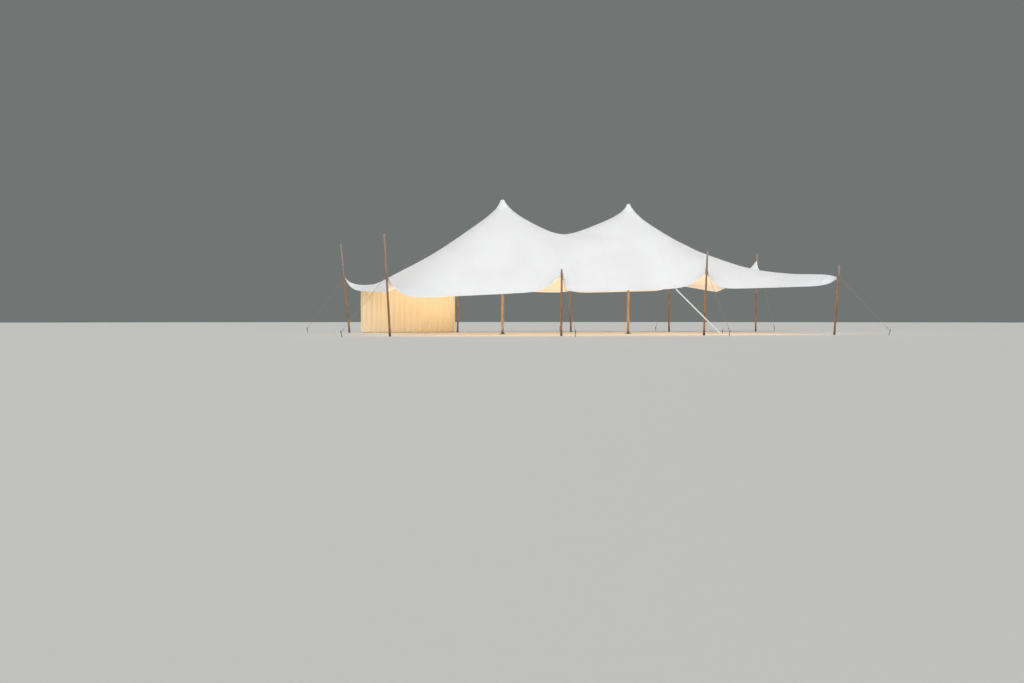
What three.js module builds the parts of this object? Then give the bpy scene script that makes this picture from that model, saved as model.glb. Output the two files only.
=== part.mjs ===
// A two-peaked stretch tent: one elastic canopy over two king poles, tied to nine timber poles.
// Millimetres, +X along the line of the king poles, +Y to the back, +Z up, the ground at z = 0.
import * as THREE from 'three';

// Driving dimensions, measured from the point half way between the king poles
const CLEARANCE = 0.3;
const SITE_CENTRE = { x: 1209, y: 900 };

const CANOPY_THICKNESS = 8;
const CANOPY_COLUMNS_PER_FRONT_BAY = [18, 17, 17];
const CANOPY_COLUMNS_PER_BACK_BAY = [13, 13, 13, 13];
const CANOPY_ROWS = 34;

// Every bay hangs between two anchors. At either end it has a dip, and a shoulder that is steep and
// rounded off by so much; its middle is drawn in.
const FRONT_BAYS = [
  { from: 'front_left', to: 'front_middle', dips: [800, 560], steep: [8, 10], rounded: [1, 2], inward: 350 },
  { from: 'front_middle', to: 'front_right', dips: [600, 600], steep: [24, 7], rounded: [1.5, 1.3], inward: 350 },
  { from: 'front_right', to: 'right_end', dips: [660, 300], steep: [8, 10], rounded: [1.3, 1], inward: 350 },
];
const BACK_BAYS = [
  { from: 'back_left', to: 'back_wall', dips: [350, 300], steep: [8, 8], rounded: [1, 1], inward: 350 },
  { from: 'back_wall', to: 'back_middle_left', dips: [350, 130], steep: [8, 8], rounded: [1, 1], inward: 350 },
  {
    from: 'back_middle_left', to: 'back_middle_right', dips: [130, 280], steep: [8, 8], rounded: [1, 1], inward: 350,
  },
  {
    from: 'back_middle_right', to: 'back_right', dips: [600, 1250], steep: [1.3, 1.3], rounded: [1, 1], inward: 400,
  },
];
const LEFT_BAY = {
  from: 'front_left', to: 'back_left', dips: [560, 560], steep: [8, 8], rounded: [1, 1], inward: 600,
};
const RIGHT_BAY = {
  from: 'right_end', to: 'back_right', dips: [-120, 600], steep: [8, 8], rounded: [1, 1], inward: 350,
};

// Canopy corners and edge peaks, with the pole that each is tied to
const ANCHORS = {
  front_left: { at: [-7770, -4100, 2150], poleTop: 3690, lean: [-0.054, -0.01], outward: [-0.86, -0.51] },
  front_middle: { at: [-1310, -4100, 2250], poleTop: 2490, lean: [0.003, -0.01], outward: [0, -1] },
  front_right: { at: [4460, -4100, 2440], poleTop: 3250, lean: [0.036, -0.01], outward: [0.05, -1] },
  right_end: { at: [10020, -4100, 2270], poleTop: 2760, lean: [0.06, -0.02], outward: [0.8, -0.6] },
  back_right: { at: [11390, 5900, 3500], poleTop: 3900, lean: [0.024, 0.02], outward: [0.8, 0.6] },
  back_middle_right: { at: [6830, 5900, 2300], poleTop: 3000, lean: [0.02, 0.03], outward: [0, 1] },
  back_middle_left: { at: [1790, 5900, 2000], poleTop: 2750, lean: [-0.01, 0.03], outward: [0, 1] },
  back_wall: { at: [-3650, 5900, 2350], poleTop: 3050, lean: [0.01, 0.02], outward: [0, 1] },
  back_left: { at: [-8850, 5900, 2480], poleTop: 4040, lean: [-0.09, 0.02], outward: [-0.86, 0.51] },
};

// The king poles and the shape that they give the stretched cloth
const KING_POLES = {
  left: { x: -2720, y: 0, apex: 5500 },
  right: { x: 2700, y: 0, apex: 5460 },
};
const CROWN_RADIUS = 120;
const CROWN_DROP = 60;
const STRETCH_FALL = 0.85;
const STRETCH_CORE = 180;
const HOLLOWS = [
  { x: -540, y: 0, depth: 320, halfLength: 1580, halfWidth: 2500 },
  { x: 4310, y: 0, depth: 210, halfLength: 1580, halfWidth: 2500 },
  { x: 8100, y: -400, depth: 114, halfLength: 1800, halfWidth: 2500 },
  { x: -7050, y: 2200, depth: -186, halfLength: 1320, halfWidth: 2400 },
];
const HOLLOW_CLEARANCE = 450;
const HOLLOW_RIM_POWER = 12;

const KING_FOOT_RADIUS = 55;
const KING_TOP_RADIUS = 48;
const KING_HEAD_TOP_RADIUS = 18;
const KING_HEAD_RADIUS = 75;
const KING_HEAD_HEIGHT = 60;
const KING_HEAD_RELIEF = 1.36;
const KING_PLATE_RADIUS = 150;
const KING_PLATE_THICKNESS = 15;

const POLE_FOOT_RADIUS = 43;
const POLE_TOP_RADIUS = 36;
const POLE_SIDES = 12;

const COLLAR_HEIGHT = 90;
const COLLAR_THICKNESS = 14;

const STAY_REACH = 1900;
const STAY_RADIUS = 6;
const STAKE_RADIUS = 12;
const STAKE_HEIGHT = 230;
const STAKE_LEAN = 0.25;
const STAKE_TIE_HEIGHT = 180;
const STAKE_SIDES = 8;

const STRAP_BAY = 1;
const STRAP_PLACE = 0.7;
const STRAP_STAKE = { x: 4905, y: -4560 };
const STRAP_TIE_HEIGHT = 45;
const STRAP_WIDTH = 50;
const STRAP_THICKNESS = 3;

const WALL_THICKNESS = 8;
const WALL_ROWS = 4;
const WALL_INSET = 8;
const WALL_FIRST_COLUMN = 3;
const WALL_LAST_COLUMN = 12;

const finishes = {
  canopy: new THREE.MeshStandardMaterial({ color: 0xecedef, roughness: 0.75, metalness: 0, side: THREE.DoubleSide }),
  wall: new THREE.MeshStandardMaterial({ color: 0xe8d7b4, roughness: 0.85, metalness: 0 }),
  timber: new THREE.MeshStandardMaterial({ color: 0x7d5f43, roughness: 0.8, metalness: 0 }),
  king_timber: new THREE.MeshStandardMaterial({ color: 0x8d6e4e, roughness: 0.75, metalness: 0 }),
  rope: new THREE.MeshStandardMaterial({ color: 0xb49a72, roughness: 0.95, metalness: 0 }),
  webbing: new THREE.MeshStandardMaterial({ color: 0xe6e4de, roughness: 0.8, metalness: 0 }),
  steel: new THREE.MeshStandardMaterial({ color: 0x45464a, roughness: 0.5, metalness: 0.9 }),
};

const tent = new THREE.Group();
tent.position.set(-SITE_CENTRE.x, -SITE_CENTRE.y, 0);

function addPiece(name, geometry, finish, position = new THREE.Vector3()) {
  const mesh = new THREE.Mesh(geometry, finishes[finish]);
  mesh.name = name;
  mesh.position.copy(position);
  tent.add(mesh);
  return mesh;
}

function anchorPoint(name) {
  return new THREE.Vector3(...ANCHORS[name].at);
}

function outwardOf(name) {
  const [x, y] = ANCHORS[name].outward;
  return new THREE.Vector3(x, y, 0).normalize();
}

// Fractions from 0 to 1 that crowd together at both ends, where the cloth climbs to its anchors
function crowdedFractions(count) {
  const crowding = 0.1;
  return Array.from({ length: count + 1 }, (_, i) => i / count - crowding * Math.sin((2 * Math.PI * i) / count));
}

// One edge bay's point: a shouldered dip between its anchors, drawn in towards the cloth
function bayPoint(bay, fraction, inwardSide) {
  const start = anchorPoint(bay.from);
  const end = anchorPoint(bay.to);
  const point = start.clone().lerp(end, fraction);
  const fromMiddle = Math.abs(2 * fraction - 1);
  const dip = THREE.MathUtils.lerp(bay.dips[0], bay.dips[1], fraction);
  const near = fraction < 0.5 ? 0 : 1;
  point.z -= dip * (1 - fromMiddle ** bay.steep[near]) ** bay.rounded[near];
  const along = end.sub(start).setZ(0).normalize();
  const inward = new THREE.Vector3(-along.y, along.x, 0).multiplyScalar(inwardSide);
  return point.addScaledVector(inward, bay.inward * (1 - fromMiddle ** 2));
}

function edgePoints(bays, columns, inwardSide) {
  const points = [anchorPoint(bays[0].from)];
  bays.forEach((bay, index) => {
    for (const fraction of crowdedFractions(columns[index]).slice(1)) {
      points.push(bayPoint(bay, fraction, inwardSide));
    }
  });
  return points;
}

// The cloth's plan: a patch blended between its four edges, its mesh gathered at the king poles
function canopyPlan() {
  const front = edgePoints(FRONT_BAYS, CANOPY_COLUMNS_PER_FRONT_BAY, 1);
  const back = edgePoints(BACK_BAYS, CANOPY_COLUMNS_PER_BACK_BAY, -1);
  const left = edgePoints([LEFT_BAY], [CANOPY_ROWS], -1);
  const right = edgePoints([RIGHT_BAY], [CANOPY_ROWS], 1);
  const columns = front.length - 1;
  const grid = front.map((_, i) => left.map((__, j) => {
    const s = i / columns;
    const t = j / CANOPY_ROWS;
    const point = front[i].clone().multiplyScalar(1 - t).addScaledVector(back[i], t);
    point.addScaledVector(left[j], 1 - s).addScaledVector(right[j], s);
    point.addScaledVector(front[0], -(1 - s) * (1 - t)).addScaledVector(front[columns], -s * (1 - t));
    return point.addScaledVector(back[0], -(1 - s) * t).addScaledVector(back[columns], -s * t);
  }));
  Object.values(KING_POLES).forEach((pole) => gatherAt(grid, pole));
  return grid;
}

function planDistance(point, pole) {
  return Math.hypot(point.x - pole.x, point.y - pole.y);
}

function isRim(grid, i, j) {
  return i === 0 || j === 0 || i === grid.length - 1 || j === grid[0].length - 1;
}

function gatherAt(grid, pole) {
  const shiftReach = 1200;
  const gatherReach = 900;
  const gather = 0.5;
  const nearest = grid.flat().reduce((a, b) => (planDistance(b, pole) < planDistance(a, pole) ? b : a));
  const shift = { x: pole.x - nearest.x, y: pole.y - nearest.y };
  grid.forEach((column, i) => column.forEach((point, j) => {
    if (isRim(grid, i, j)) return;
    const pull = Math.exp(-((planDistance(point, pole) / shiftReach) ** 2));
    point.x += pull * shift.x;
    point.y += pull * shift.y;
    const squeeze = gather * Math.exp(-((planDistance(point, pole) / gatherReach) ** 2));
    point.x += squeeze * (pole.x - point.x);
    point.y += squeeze * (pole.y - point.y);
  }));
}

// The cloth's height: a relaxed net, tightest round the king poles, held at its rim and its crowns
function relaxCanopy(grid) {
  const poles = Object.values(KING_POLES);
  const columns = grid.length;
  const rows = grid[0].length;
  const tension = grid.map((column) => column.map((point) => {
    const reach = Math.min(...poles.map((pole) => planDistance(point, pole)));
    return (reach + STRETCH_CORE) ** -STRETCH_FALL;
  }));
  const spacing = (a, b) => Math.hypot(a.x - b.x, a.y - b.y);
  const width = (i, j, di, dj) => {
    const before = grid[Math.max(i - di, 0)][Math.max(j - dj, 0)];
    const after = grid[Math.min(i + di, columns - 1)][Math.min(j + dj, rows - 1)];
    return spacing(before, after);
  };
  const pullBetween = (i, j, k, l) => {
    const across = i === k ? [1, 0] : [0, 1];
    const meanWidth = (width(i, j, ...across) + width(k, l, ...across)) / 2;
    return ((tension[i][j] + tension[k][l]) * meanWidth) / spacing(grid[i][j], grid[k][l]);
  };
  const free = [];
  grid.forEach((column, i) => column.forEach((point, j) => {
    if (isRim(grid, i, j)) return;
    const crown = poles.find((pole) => planDistance(point, pole) <= CROWN_RADIUS);
    if (crown) {
      point.z = crown.apex - CROWN_DROP * (planDistance(point, crown) / CROWN_RADIUS) ** 2;
      return;
    }
    const ties = [[i - 1, j], [i + 1, j], [i, j - 1], [i, j + 1]];
    const pulls = ties.map(([k, l]) => pullBetween(i, j, k, l));
    const fromRim = [2 * (i / (columns - 1)) - 1, 2 * (j / (rows - 1)) - 1];
    free.push({
      point,
      ties: ties.map(([k, l]) => grid[k][l]),
      pulls,
      total: pulls.reduce((a, b) => a + b),
      inside: fromRim.reduce((share, place) => share * (1 - Math.abs(place) ** HOLLOW_RIM_POWER), 1),
    });
  }));
  const sweeps = 900;
  const overshoot = 1.85;
  for (let sweep = 0; sweep < sweeps; sweep += 1) {
    for (const node of free) {
      const pulled = node.ties.reduce((sum, tie, k) => sum + node.pulls[k] * tie.z, 0);
      node.point.z += overshoot * (pulled / node.total - node.point.z);
    }
  }
  for (const { point, inside } of free) {
    const reach = Math.min(...poles.map((pole) => planDistance(point, pole)));
    const spared = 1 - Math.exp(-((reach / HOLLOW_CLEARANCE) ** 2));
    for (const hollow of HOLLOWS) {
      const along = Math.exp(-(((point.x - hollow.x) / hollow.halfLength) ** 2));
      const across = Math.exp(-(((point.y - hollow.y) / hollow.halfWidth) ** 2));
      point.z -= hollow.depth * inside * spared * along * across;
    }
  }
}

// The sheet's inner face lies one thickness under the outer one, along the local normal
function innerPoint(grid, i, j, thickness) {
  const columns = grid.length;
  const rows = grid[0].length;
  const alongColumns = grid[Math.min(i + 1, columns - 1)][j].clone().sub(grid[Math.max(i - 1, 0)][j]);
  const alongRows = grid[i][Math.min(j + 1, rows - 1)].clone().sub(grid[i][Math.max(j - 1, 0)]);
  const normal = alongColumns.cross(alongRows).normalize();
  return grid[i][j].clone().addScaledVector(normal, -thickness);
}

// A closed sheet from a grid of outer points
function sheetGeometry(grid, thickness) {
  const columns = grid.length;
  const rows = grid[0].length;
  const outer = grid.flat();
  const inner = outer.map((_, index) => innerPoint(grid, Math.floor(index / rows), index % rows, thickness));
  const faces = [];
  const quad = (a, b, c, d) => faces.push(a, b, c, a, c, d);
  const at = (i, j) => i * rows + j;
  const under = outer.length;
  for (let i = 0; i < columns - 1; i += 1) {
    for (let j = 0; j < rows - 1; j += 1) {
      quad(at(i, j), at(i + 1, j), at(i + 1, j + 1), at(i, j + 1));
      quad(under + at(i, j), under + at(i, j + 1), under + at(i + 1, j + 1), under + at(i + 1, j));
    }
  }
  const rim = [];
  for (let i = 0; i < columns - 1; i += 1) rim.push(at(i, 0));
  for (let j = 0; j < rows - 1; j += 1) rim.push(at(columns - 1, j));
  for (let i = columns - 1; i > 0; i -= 1) rim.push(at(i, rows - 1));
  for (let j = rows - 1; j > 0; j -= 1) rim.push(at(0, j));
  rim.forEach((a, k) => {
    const b = rim[(k + 1) % rim.length];
    quad(a, under + a, under + b, b);
  });
  const geometry = new THREE.BufferGeometry();
  const coordinates = [...outer, ...inner].flatMap((point) => point.toArray());
  geometry.setAttribute('position', new THREE.Float32BufferAttribute(coordinates, 3));
  geometry.setIndex(faces);
  geometry.computeVertexNormals();
  return geometry;
}

function headingOf(direction) {
  return Math.atan2(direction.y, direction.x);
}

// The distance from the axis of a many-sided round to the middle of its sides
function flatRadius(radius, sides) {
  return radius * Math.cos(Math.PI / sides);
}

// A round shaft whose ends stay level while its axis leans; one of its sides faces the heading
function leaningShaft({ footRadius, topRadius, height, lean = [0, 0], heading = 0, sides = POLE_SIDES }) {
  const geometry = new THREE.CylinderGeometry(topRadius, footRadius, height, sides);
  geometry.rotateX(Math.PI / 2);
  geometry.rotateZ(heading + Math.PI / sides);
  geometry.translate(0, 0, height / 2);
  return slant(geometry, lean);
}

function slant(geometry, lean) {
  const matrix = new THREE.Matrix4().set(1, 0, lean[0], 0, 0, 1, lean[1], 0, 0, 0, 1, 0, 0, 0, 0, 1);
  return geometry.applyMatrix4(matrix);
}

// A bar made level along +X from the origin, then tilted so that its end faces stay upright
function tiltedBar(geometry, run, slope) {
  const stretch = Math.hypot(1, slope);
  const matrix = new THREE.Matrix4().set(1, 0, 0, 0, 0, 1, 0, 0, slope, 0, stretch, 0, 0, 0, 0, 1);
  return geometry.translate(run / 2, 0, 0).applyMatrix4(matrix);
}

function ringGeometry(innerRadius, outerRadius, height, sides) {
  const profile = [
    new THREE.Vector2(innerRadius, -height / 2),
    new THREE.Vector2(outerRadius, -height / 2),
    new THREE.Vector2(outerRadius, height / 2),
    new THREE.Vector2(innerRadius, height / 2),
    new THREE.Vector2(innerRadius, -height / 2),
  ];
  const geometry = new THREE.LatheGeometry(profile, sides);
  geometry.rotateX(Math.PI / 2);
  return geometry;
}

function makeCanopy(grid) {
  addPiece('canopy', sheetGeometry(grid, CANOPY_THICKNESS), 'canopy');
}

// The steepest fall of the cloth from a crown to its nearest points, which the head has to clear
function steepestFall(grid, pole, count) {
  const nearest = grid.flat().sort((a, b) => planDistance(a, pole) - planDistance(b, pole));
  const falls = nearest.slice(1, count + 1).map((point) => (pole.apex - point.z) / planDistance(point, pole));
  return Math.max(...falls);
}

function makeKingPole(side, pole, grid) {
  const crownFall = steepestFall(grid, pole, 8) * KING_HEAD_RELIEF;
  const sideFall = steepestFall(grid, pole, 40) * KING_HEAD_RELIEF;
  const headTop = pole.apex - CANOPY_THICKNESS - CLEARANCE - crownFall * KING_HEAD_TOP_RADIUS;
  const shoulder = headTop - sideFall * (KING_HEAD_RADIUS - KING_HEAD_TOP_RADIUS);
  const headFoot = shoulder - KING_HEAD_HEIGHT;
  const shaftFoot = KING_PLATE_THICKNESS + CLEARANCE;
  const shaftHeight = headFoot - CLEARANCE - shaftFoot;
  const profile = [
    new THREE.Vector2(0, headFoot),
    new THREE.Vector2(KING_HEAD_RADIUS, headFoot),
    new THREE.Vector2(KING_HEAD_RADIUS, shoulder),
    new THREE.Vector2(KING_HEAD_TOP_RADIUS, headTop),
    new THREE.Vector2(0, headTop),
  ];
  const sides = 16;
  const head = new THREE.LatheGeometry(profile, sides).rotateX(Math.PI / 2);
  const shaft = leaningShaft({
    footRadius: KING_FOOT_RADIUS, topRadius: KING_TOP_RADIUS, height: shaftHeight, sides,
  });
  const plate = leaningShaft({
    footRadius: KING_PLATE_RADIUS, topRadius: KING_PLATE_RADIUS, height: KING_PLATE_THICKNESS, sides,
  });
  const foot = new THREE.Vector3(pole.x, pole.y, 0);
  addPiece(`king_pole_${side}`, shaft, 'king_timber', foot.clone().setZ(shaftFoot));
  addPiece(`king_head_${side}`, head, 'king_timber', foot);
  addPiece(`king_foot_plate_${side}`, plate, 'steel', foot);
}

function poleRadiusAt(anchor, height) {
  return THREE.MathUtils.lerp(POLE_FOOT_RADIUS, POLE_TOP_RADIUS, height / anchor.poleTop);
}

// How far the cloth's underside stands out past its anchor, towards the pole
function undersideReach(grid, name) {
  const tie = anchorPoint(name);
  const outward = outwardOf(name);
  const reaches = [0];
  grid.forEach((column, i) => column.forEach((point, j) => {
    if (point.distanceTo(tie) < 1) {
      reaches.push(innerPoint(grid, i, j, CANOPY_THICKNESS).sub(point).dot(outward));
    }
  }));
  return Math.max(...reaches);
}

// How much a leaning surface comes nearer over a height, seen along a direction
function leanAllowance(lean, direction, height) {
  return Math.abs(lean[0] * direction.x + lean[1] * direction.y) * height;
}

// The edge pole with the collar that ties the cloth to it; gives the collar's centre and radius
function makeEdgePole(name, grid) {
  const anchor = ANCHORS[name];
  const tie = anchorPoint(name);
  const outward = outwardOf(name);
  const heading = headingOf(outward);
  const collarRadius = poleRadiusAt(anchor, tie.z) + CLEARANCE + COLLAR_THICKNESS;
  const allowance = leanAllowance(anchor.lean, outward, CANOPY_THICKNESS / 2);
  const standoff = flatRadius(collarRadius, POLE_SIDES) + undersideReach(grid, name) + CLEARANCE + allowance;
  const centre = tie.clone().addScaledVector(outward, standoff);
  centre.z -= CANOPY_THICKNESS / 2;
  const foot = new THREE.Vector3(centre.x - anchor.lean[0] * centre.z, centre.y - anchor.lean[1] * centre.z, 0);
  const shaft = leaningShaft({
    footRadius: POLE_FOOT_RADIUS, topRadius: POLE_TOP_RADIUS, height: anchor.poleTop, lean: anchor.lean, heading,
  });
  addPiece(`pole_${name}`, shaft, 'timber', foot);
  const bore = poleRadiusAt(anchor, centre.z - COLLAR_HEIGHT / 2) + CLEARANCE;
  const collar = ringGeometry(bore, collarRadius, COLLAR_HEIGHT, POLE_SIDES);
  collar.rotateZ(heading + Math.PI / POLE_SIDES);
  addPiece(`lashing_${name}`, slant(collar, anchor.lean), 'rope', centre);
  return { centre, collarRadius };
}

// A steel pin driven into the ground, leaning away from the tent; gives the point that is tied
function makeStake(name, foot, outward, tieHeight = STAKE_TIE_HEIGHT) {
  const lean = [outward.x * STAKE_LEAN, outward.y * STAKE_LEAN];
  const pin = leaningShaft({
    footRadius: STAKE_RADIUS, topRadius: STAKE_RADIUS, height: STAKE_HEIGHT, lean, heading: headingOf(outward),
    sides: STAKE_SIDES,
  });
  addPiece(name, pin, 'steel', foot);
  return foot.clone().add(new THREE.Vector3(lean[0], lean[1], 1).multiplyScalar(tieHeight));
}

// A taut line from a start point down to its stake, ending just clear of the pin
function addTautLine(name, finish, start, stakeTie, section) {
  const flat = stakeTie.clone().sub(start).setZ(0);
  const drop = stakeTie.z - start.z;
  const halfHeight = (section.height / 2) * Math.hypot(1, drop / flat.length());
  const run = flat.length() - flatRadius(STAKE_RADIUS, STAKE_SIDES) - CLEARANCE - STAKE_LEAN * halfHeight;
  const line = addPiece(name, tiltedBar(section.make(run), run, drop / run), finish, start);
  line.rotation.z = headingOf(flat);
}

const ropeSection = {
  height: 2 * STAY_RADIUS,
  make: (run) => new THREE.CylinderGeometry(STAY_RADIUS, STAY_RADIUS, run, 8).rotateZ(Math.PI / 2),
};
const strapSection = {
  height: STRAP_WIDTH,
  make: (run) => new THREE.BoxGeometry(run, STRAP_THICKNESS, STRAP_WIDTH),
};

function makeStay(name, centre, collarRadius) {
  const outward = outwardOf(name);
  const foot = centre.clone().addScaledVector(outward, STAY_REACH).setZ(0);
  const stakeTie = makeStake(`stake_${name}`, foot, outward);
  const allowance = leanAllowance(ANCHORS[name].lean, outward, 2 * STAY_RADIUS);
  const reach = flatRadius(collarRadius, POLE_SIDES) + CLEARANCE + allowance;
  const start = centre.clone().addScaledVector(outward, reach);
  addTautLine(`stay_${name}`, 'rope', start, stakeTie, ropeSection);
}

// The flat strap that crosses in front of the front right pole, from the cloth's edge to a stake
function makeFrontStrap(grid) {
  const firstColumn = CANOPY_COLUMNS_PER_FRONT_BAY[0];
  const column = firstColumn + Math.round(CANOPY_COLUMNS_PER_FRONT_BAY[STRAP_BAY] * STRAP_PLACE);
  const edge = innerPoint(grid, column, 0, CANOPY_THICKNESS);
  const foot = new THREE.Vector3(STRAP_STAKE.x, STRAP_STAKE.y, 0);
  const outward = foot.clone().sub(edge).setZ(0).normalize();
  const stakeTie = makeStake('stake_front_strap', foot, outward, STRAP_TIE_HEIGHT);
  const slope = (stakeTie.z - edge.z) / stakeTie.clone().sub(edge).setZ(0).length();
  const start = edge.clone();
  start.z -= CLEARANCE + (STRAP_WIDTH / 2) * Math.hypot(1, slope);
  addTautLine('front_strap', 'webbing', start, stakeTie, strapSection);
}

// The wall hangs from the cloth's edge between the two back left poles and reaches the ground
function makeBackLeftWall(grid) {
  const topEdge = grid.slice(WALL_FIRST_COLUMN, WALL_LAST_COLUMN + 1).map((column) => column[column.length - 1]);
  const wallGrid = topEdge.map((edge) => {
    const top = edge.z - CANOPY_THICKNESS * 1.2 - CLEARANCE;
    return Array.from({ length: WALL_ROWS + 1 }, (_, row) => {
      const height = top * (row / WALL_ROWS);
      return new THREE.Vector3(edge.x, edge.y - WALL_INSET, height);
    });
  });
  addPiece('back_left_wall', sheetGeometry(wallGrid, WALL_THICKNESS), 'wall');
}

const canopyGrid = canopyPlan();
relaxCanopy(canopyGrid);
makeCanopy(canopyGrid);
makeBackLeftWall(canopyGrid);
for (const [side, pole] of Object.entries(KING_POLES)) {
  makeKingPole(side, pole, canopyGrid);
}
for (const name of Object.keys(ANCHORS)) {
  const { centre, collarRadius } = makeEdgePole(name, canopyGrid);
  makeStay(name, centre, collarRadius);
}
makeFrontStrap(canopyGrid);

const site = new THREE.Group();
site.add(tent);

export default site;
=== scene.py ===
"""A two-peaked stretch tent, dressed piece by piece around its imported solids.

Everything is in metres in the frame of the solids: +X along the line of the king poles, +Y from the open
front to the back and +Z up, with the ground at z = 0.
"""

import logging
import math
import random
from collections.abc import Callable, Iterable, Sequence
from dataclasses import dataclass, field
from enum import Enum
from functools import cached_property
from typing import ClassVar

import bmesh
import bpy
import numpy as np
from mathutils import Matrix, Vector, noise
from mathutils.bvhtree import BVHTree


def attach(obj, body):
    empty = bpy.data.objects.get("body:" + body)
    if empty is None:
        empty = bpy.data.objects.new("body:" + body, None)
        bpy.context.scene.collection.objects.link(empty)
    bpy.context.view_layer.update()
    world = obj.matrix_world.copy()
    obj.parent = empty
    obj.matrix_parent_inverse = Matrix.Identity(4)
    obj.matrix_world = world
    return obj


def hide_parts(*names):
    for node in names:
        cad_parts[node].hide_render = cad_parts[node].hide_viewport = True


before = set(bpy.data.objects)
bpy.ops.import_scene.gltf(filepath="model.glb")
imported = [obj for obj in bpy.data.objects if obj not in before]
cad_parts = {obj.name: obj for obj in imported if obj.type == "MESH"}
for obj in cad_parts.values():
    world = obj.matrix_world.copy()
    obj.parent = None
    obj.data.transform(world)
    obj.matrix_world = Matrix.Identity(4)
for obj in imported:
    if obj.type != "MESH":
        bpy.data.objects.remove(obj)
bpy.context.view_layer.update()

Shape = bmesh.types.BMesh
Piece = bpy.types.Object
Socket = bpy.types.NodeSocket
Pair = tuple[float, float]
Triple = tuple[float, float, float]

log = logging.getLogger("stretch_tent")

BODY = "root"
UP = Vector((0, 0, 1))
FULL_TURN = 2 * math.pi
SHARP_EDGE = math.radians(40)
CLOTH_THICKNESS = 0.004
WELD_DISTANCE = 1e-5


class Weave(Enum):
    """How the threads of a cloth or strap lie."""

    KNIT = "knit"
    PLAIN = "plain"
    RIBBED = "ribbed"


class ShaderDraft:
    """A material under construction, with short ways to add and join its nodes.

    Attributes:
        material: The material.
        tree: Its nodes.
        place: The node that tells where on the piece a point lies.
    """

    def __init__(self, name: str) -> None:
        """Starts an empty node tree.

        Args:
            name: The material's name.
        """
        self.material: bpy.types.Material = bpy.data.materials.new(name)
        self.material.use_nodes = True
        self.tree: bpy.types.NodeTree = self.material.node_tree
        self.tree.nodes.clear()
        self.place: bpy.types.Node = self.add("TexCoord")

    def add(self, kind: str, inputs: dict | None = None, **settings: object) -> bpy.types.Node:
        """Adds a node.

        Args:
            kind: The node's type without its ShaderNode prefix.
            inputs: Values or output sockets for its input sockets, by name or number.
            settings: The node's own settings.

        Returns:
            The new node.
        """
        node = self.tree.nodes.new("ShaderNode" + kind)
        for name, value in settings.items():
            setattr(node, name, value)
        for socket, value in (inputs or {}).items():
            if isinstance(value, Socket):
                self.tree.links.new(value, node.inputs[socket])
            else:
                node.inputs[socket].default_value = value
        return node

    def number(self, operation: str, *values: object) -> Socket:
        """Adds a Math node for an operation on numbers or sockets and returns its output."""
        return self.add("Math", dict(enumerate(values)), operation=operation).outputs[0]

    def times(self, first: object, second: object) -> Socket:
        """Multiplies two numbers or sockets."""
        return self.number("MULTIPLY", first, second)

    def plus(self, first: object, second: object) -> Socket:
        """Adds two numbers or sockets."""
        return self.number("ADD", first, second)

    def coordinates(self, kind: str) -> bpy.types.bpy_prop_collection:
        """The single coordinates of a point on the piece, from its UV map or its place."""
        return self.add("SeparateXYZ", {0: self.place.outputs[kind]}).outputs

    def painted(self, attribute: str) -> Socket:
        """What an attribute of the piece says at a point."""
        return self.add("Attribute", attribute_name=attribute).outputs["Fac"]

    def bump(self, strength: float, height: Socket) -> Socket:
        """Turns a height in metres into a surface normal of some strength."""
        return self.add("Bump", {"Strength": strength, "Distance": 1.0, "Height": height}).outputs[0]

    def mix(self, share: object, first: object, second: object) -> Socket:
        """Blends a first colour with a second one, of which a share from 0 to 1 shows."""
        node = self.add("Mix", {0: share, 6: colour(first), 7: colour(second)}, data_type="RGBA")
        return node.outputs[2]

    def stretched(self, scale: Sequence[float]) -> Socket:
        """Object coordinates scaled by a factor along X, Y and Z."""
        return self.add("Mapping", {0: self.place.outputs["Object"], "Scale": scale}).outputs[0]

    def grain(self, where: Socket, scale: float, detail: float = 4, twist: float = 0) -> Socket:
        """A cloudy pattern from 0 to 1, with so many clouds in a metre, finer layers and twist."""
        inputs = {"Vector": where, "Scale": scale, "Detail": detail, "Distortion": twist}
        return self.add("TexNoise", inputs).outputs["Fac"]

    def between(self, value: object, low: float, high: float) -> Socket:
        """How far a value lies from low to high, held to 0 to 1."""
        inputs = {"Value": value, "From Min": low, "From Max": high}
        return self.add("MapRange", inputs, clamp=True).outputs[0]

    def surface(self, inputs: dict) -> Socket:
        """Adds the main shader with its inputs and returns its output."""
        return self.add("BsdfPrincipled", inputs).outputs[0]

    def finish(self, surface: Socket) -> bpy.types.Material:
        """Joins the surface to the output and returns the material."""
        self.add("OutputMaterial", {"Surface": surface})
        return self.material


def colour(value: object) -> object:
    """A colour with full alpha, or the socket itself."""
    return value if isinstance(value, Socket) else (*value, 1.0)


def toned(tint: Sequence[float], factor: float) -> tuple[float, ...]:
    """A colour made darker or lighter by a factor."""
    return tuple(min(1.0, factor * part) for part in tint)


@dataclass(frozen=True)
class Finish:
    """A surface finish whose material is made once and then shared.

    Attributes:
        made: Every material made so far, by its name.
        name: The material's name.
    """

    made: ClassVar[dict[str, bpy.types.Material]] = {}
    name: str

    def draw(self, draft: ShaderDraft) -> bpy.types.Material:
        """Draws the finish's nodes with a draft and returns its material."""
        raise NotImplementedError

    def material(self) -> bpy.types.Material:
        """The finish's material."""
        if self.name not in Finish.made:
            Finish.made[self.name] = self.draw(ShaderDraft(self.name))
        return Finish.made[self.name]


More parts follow.
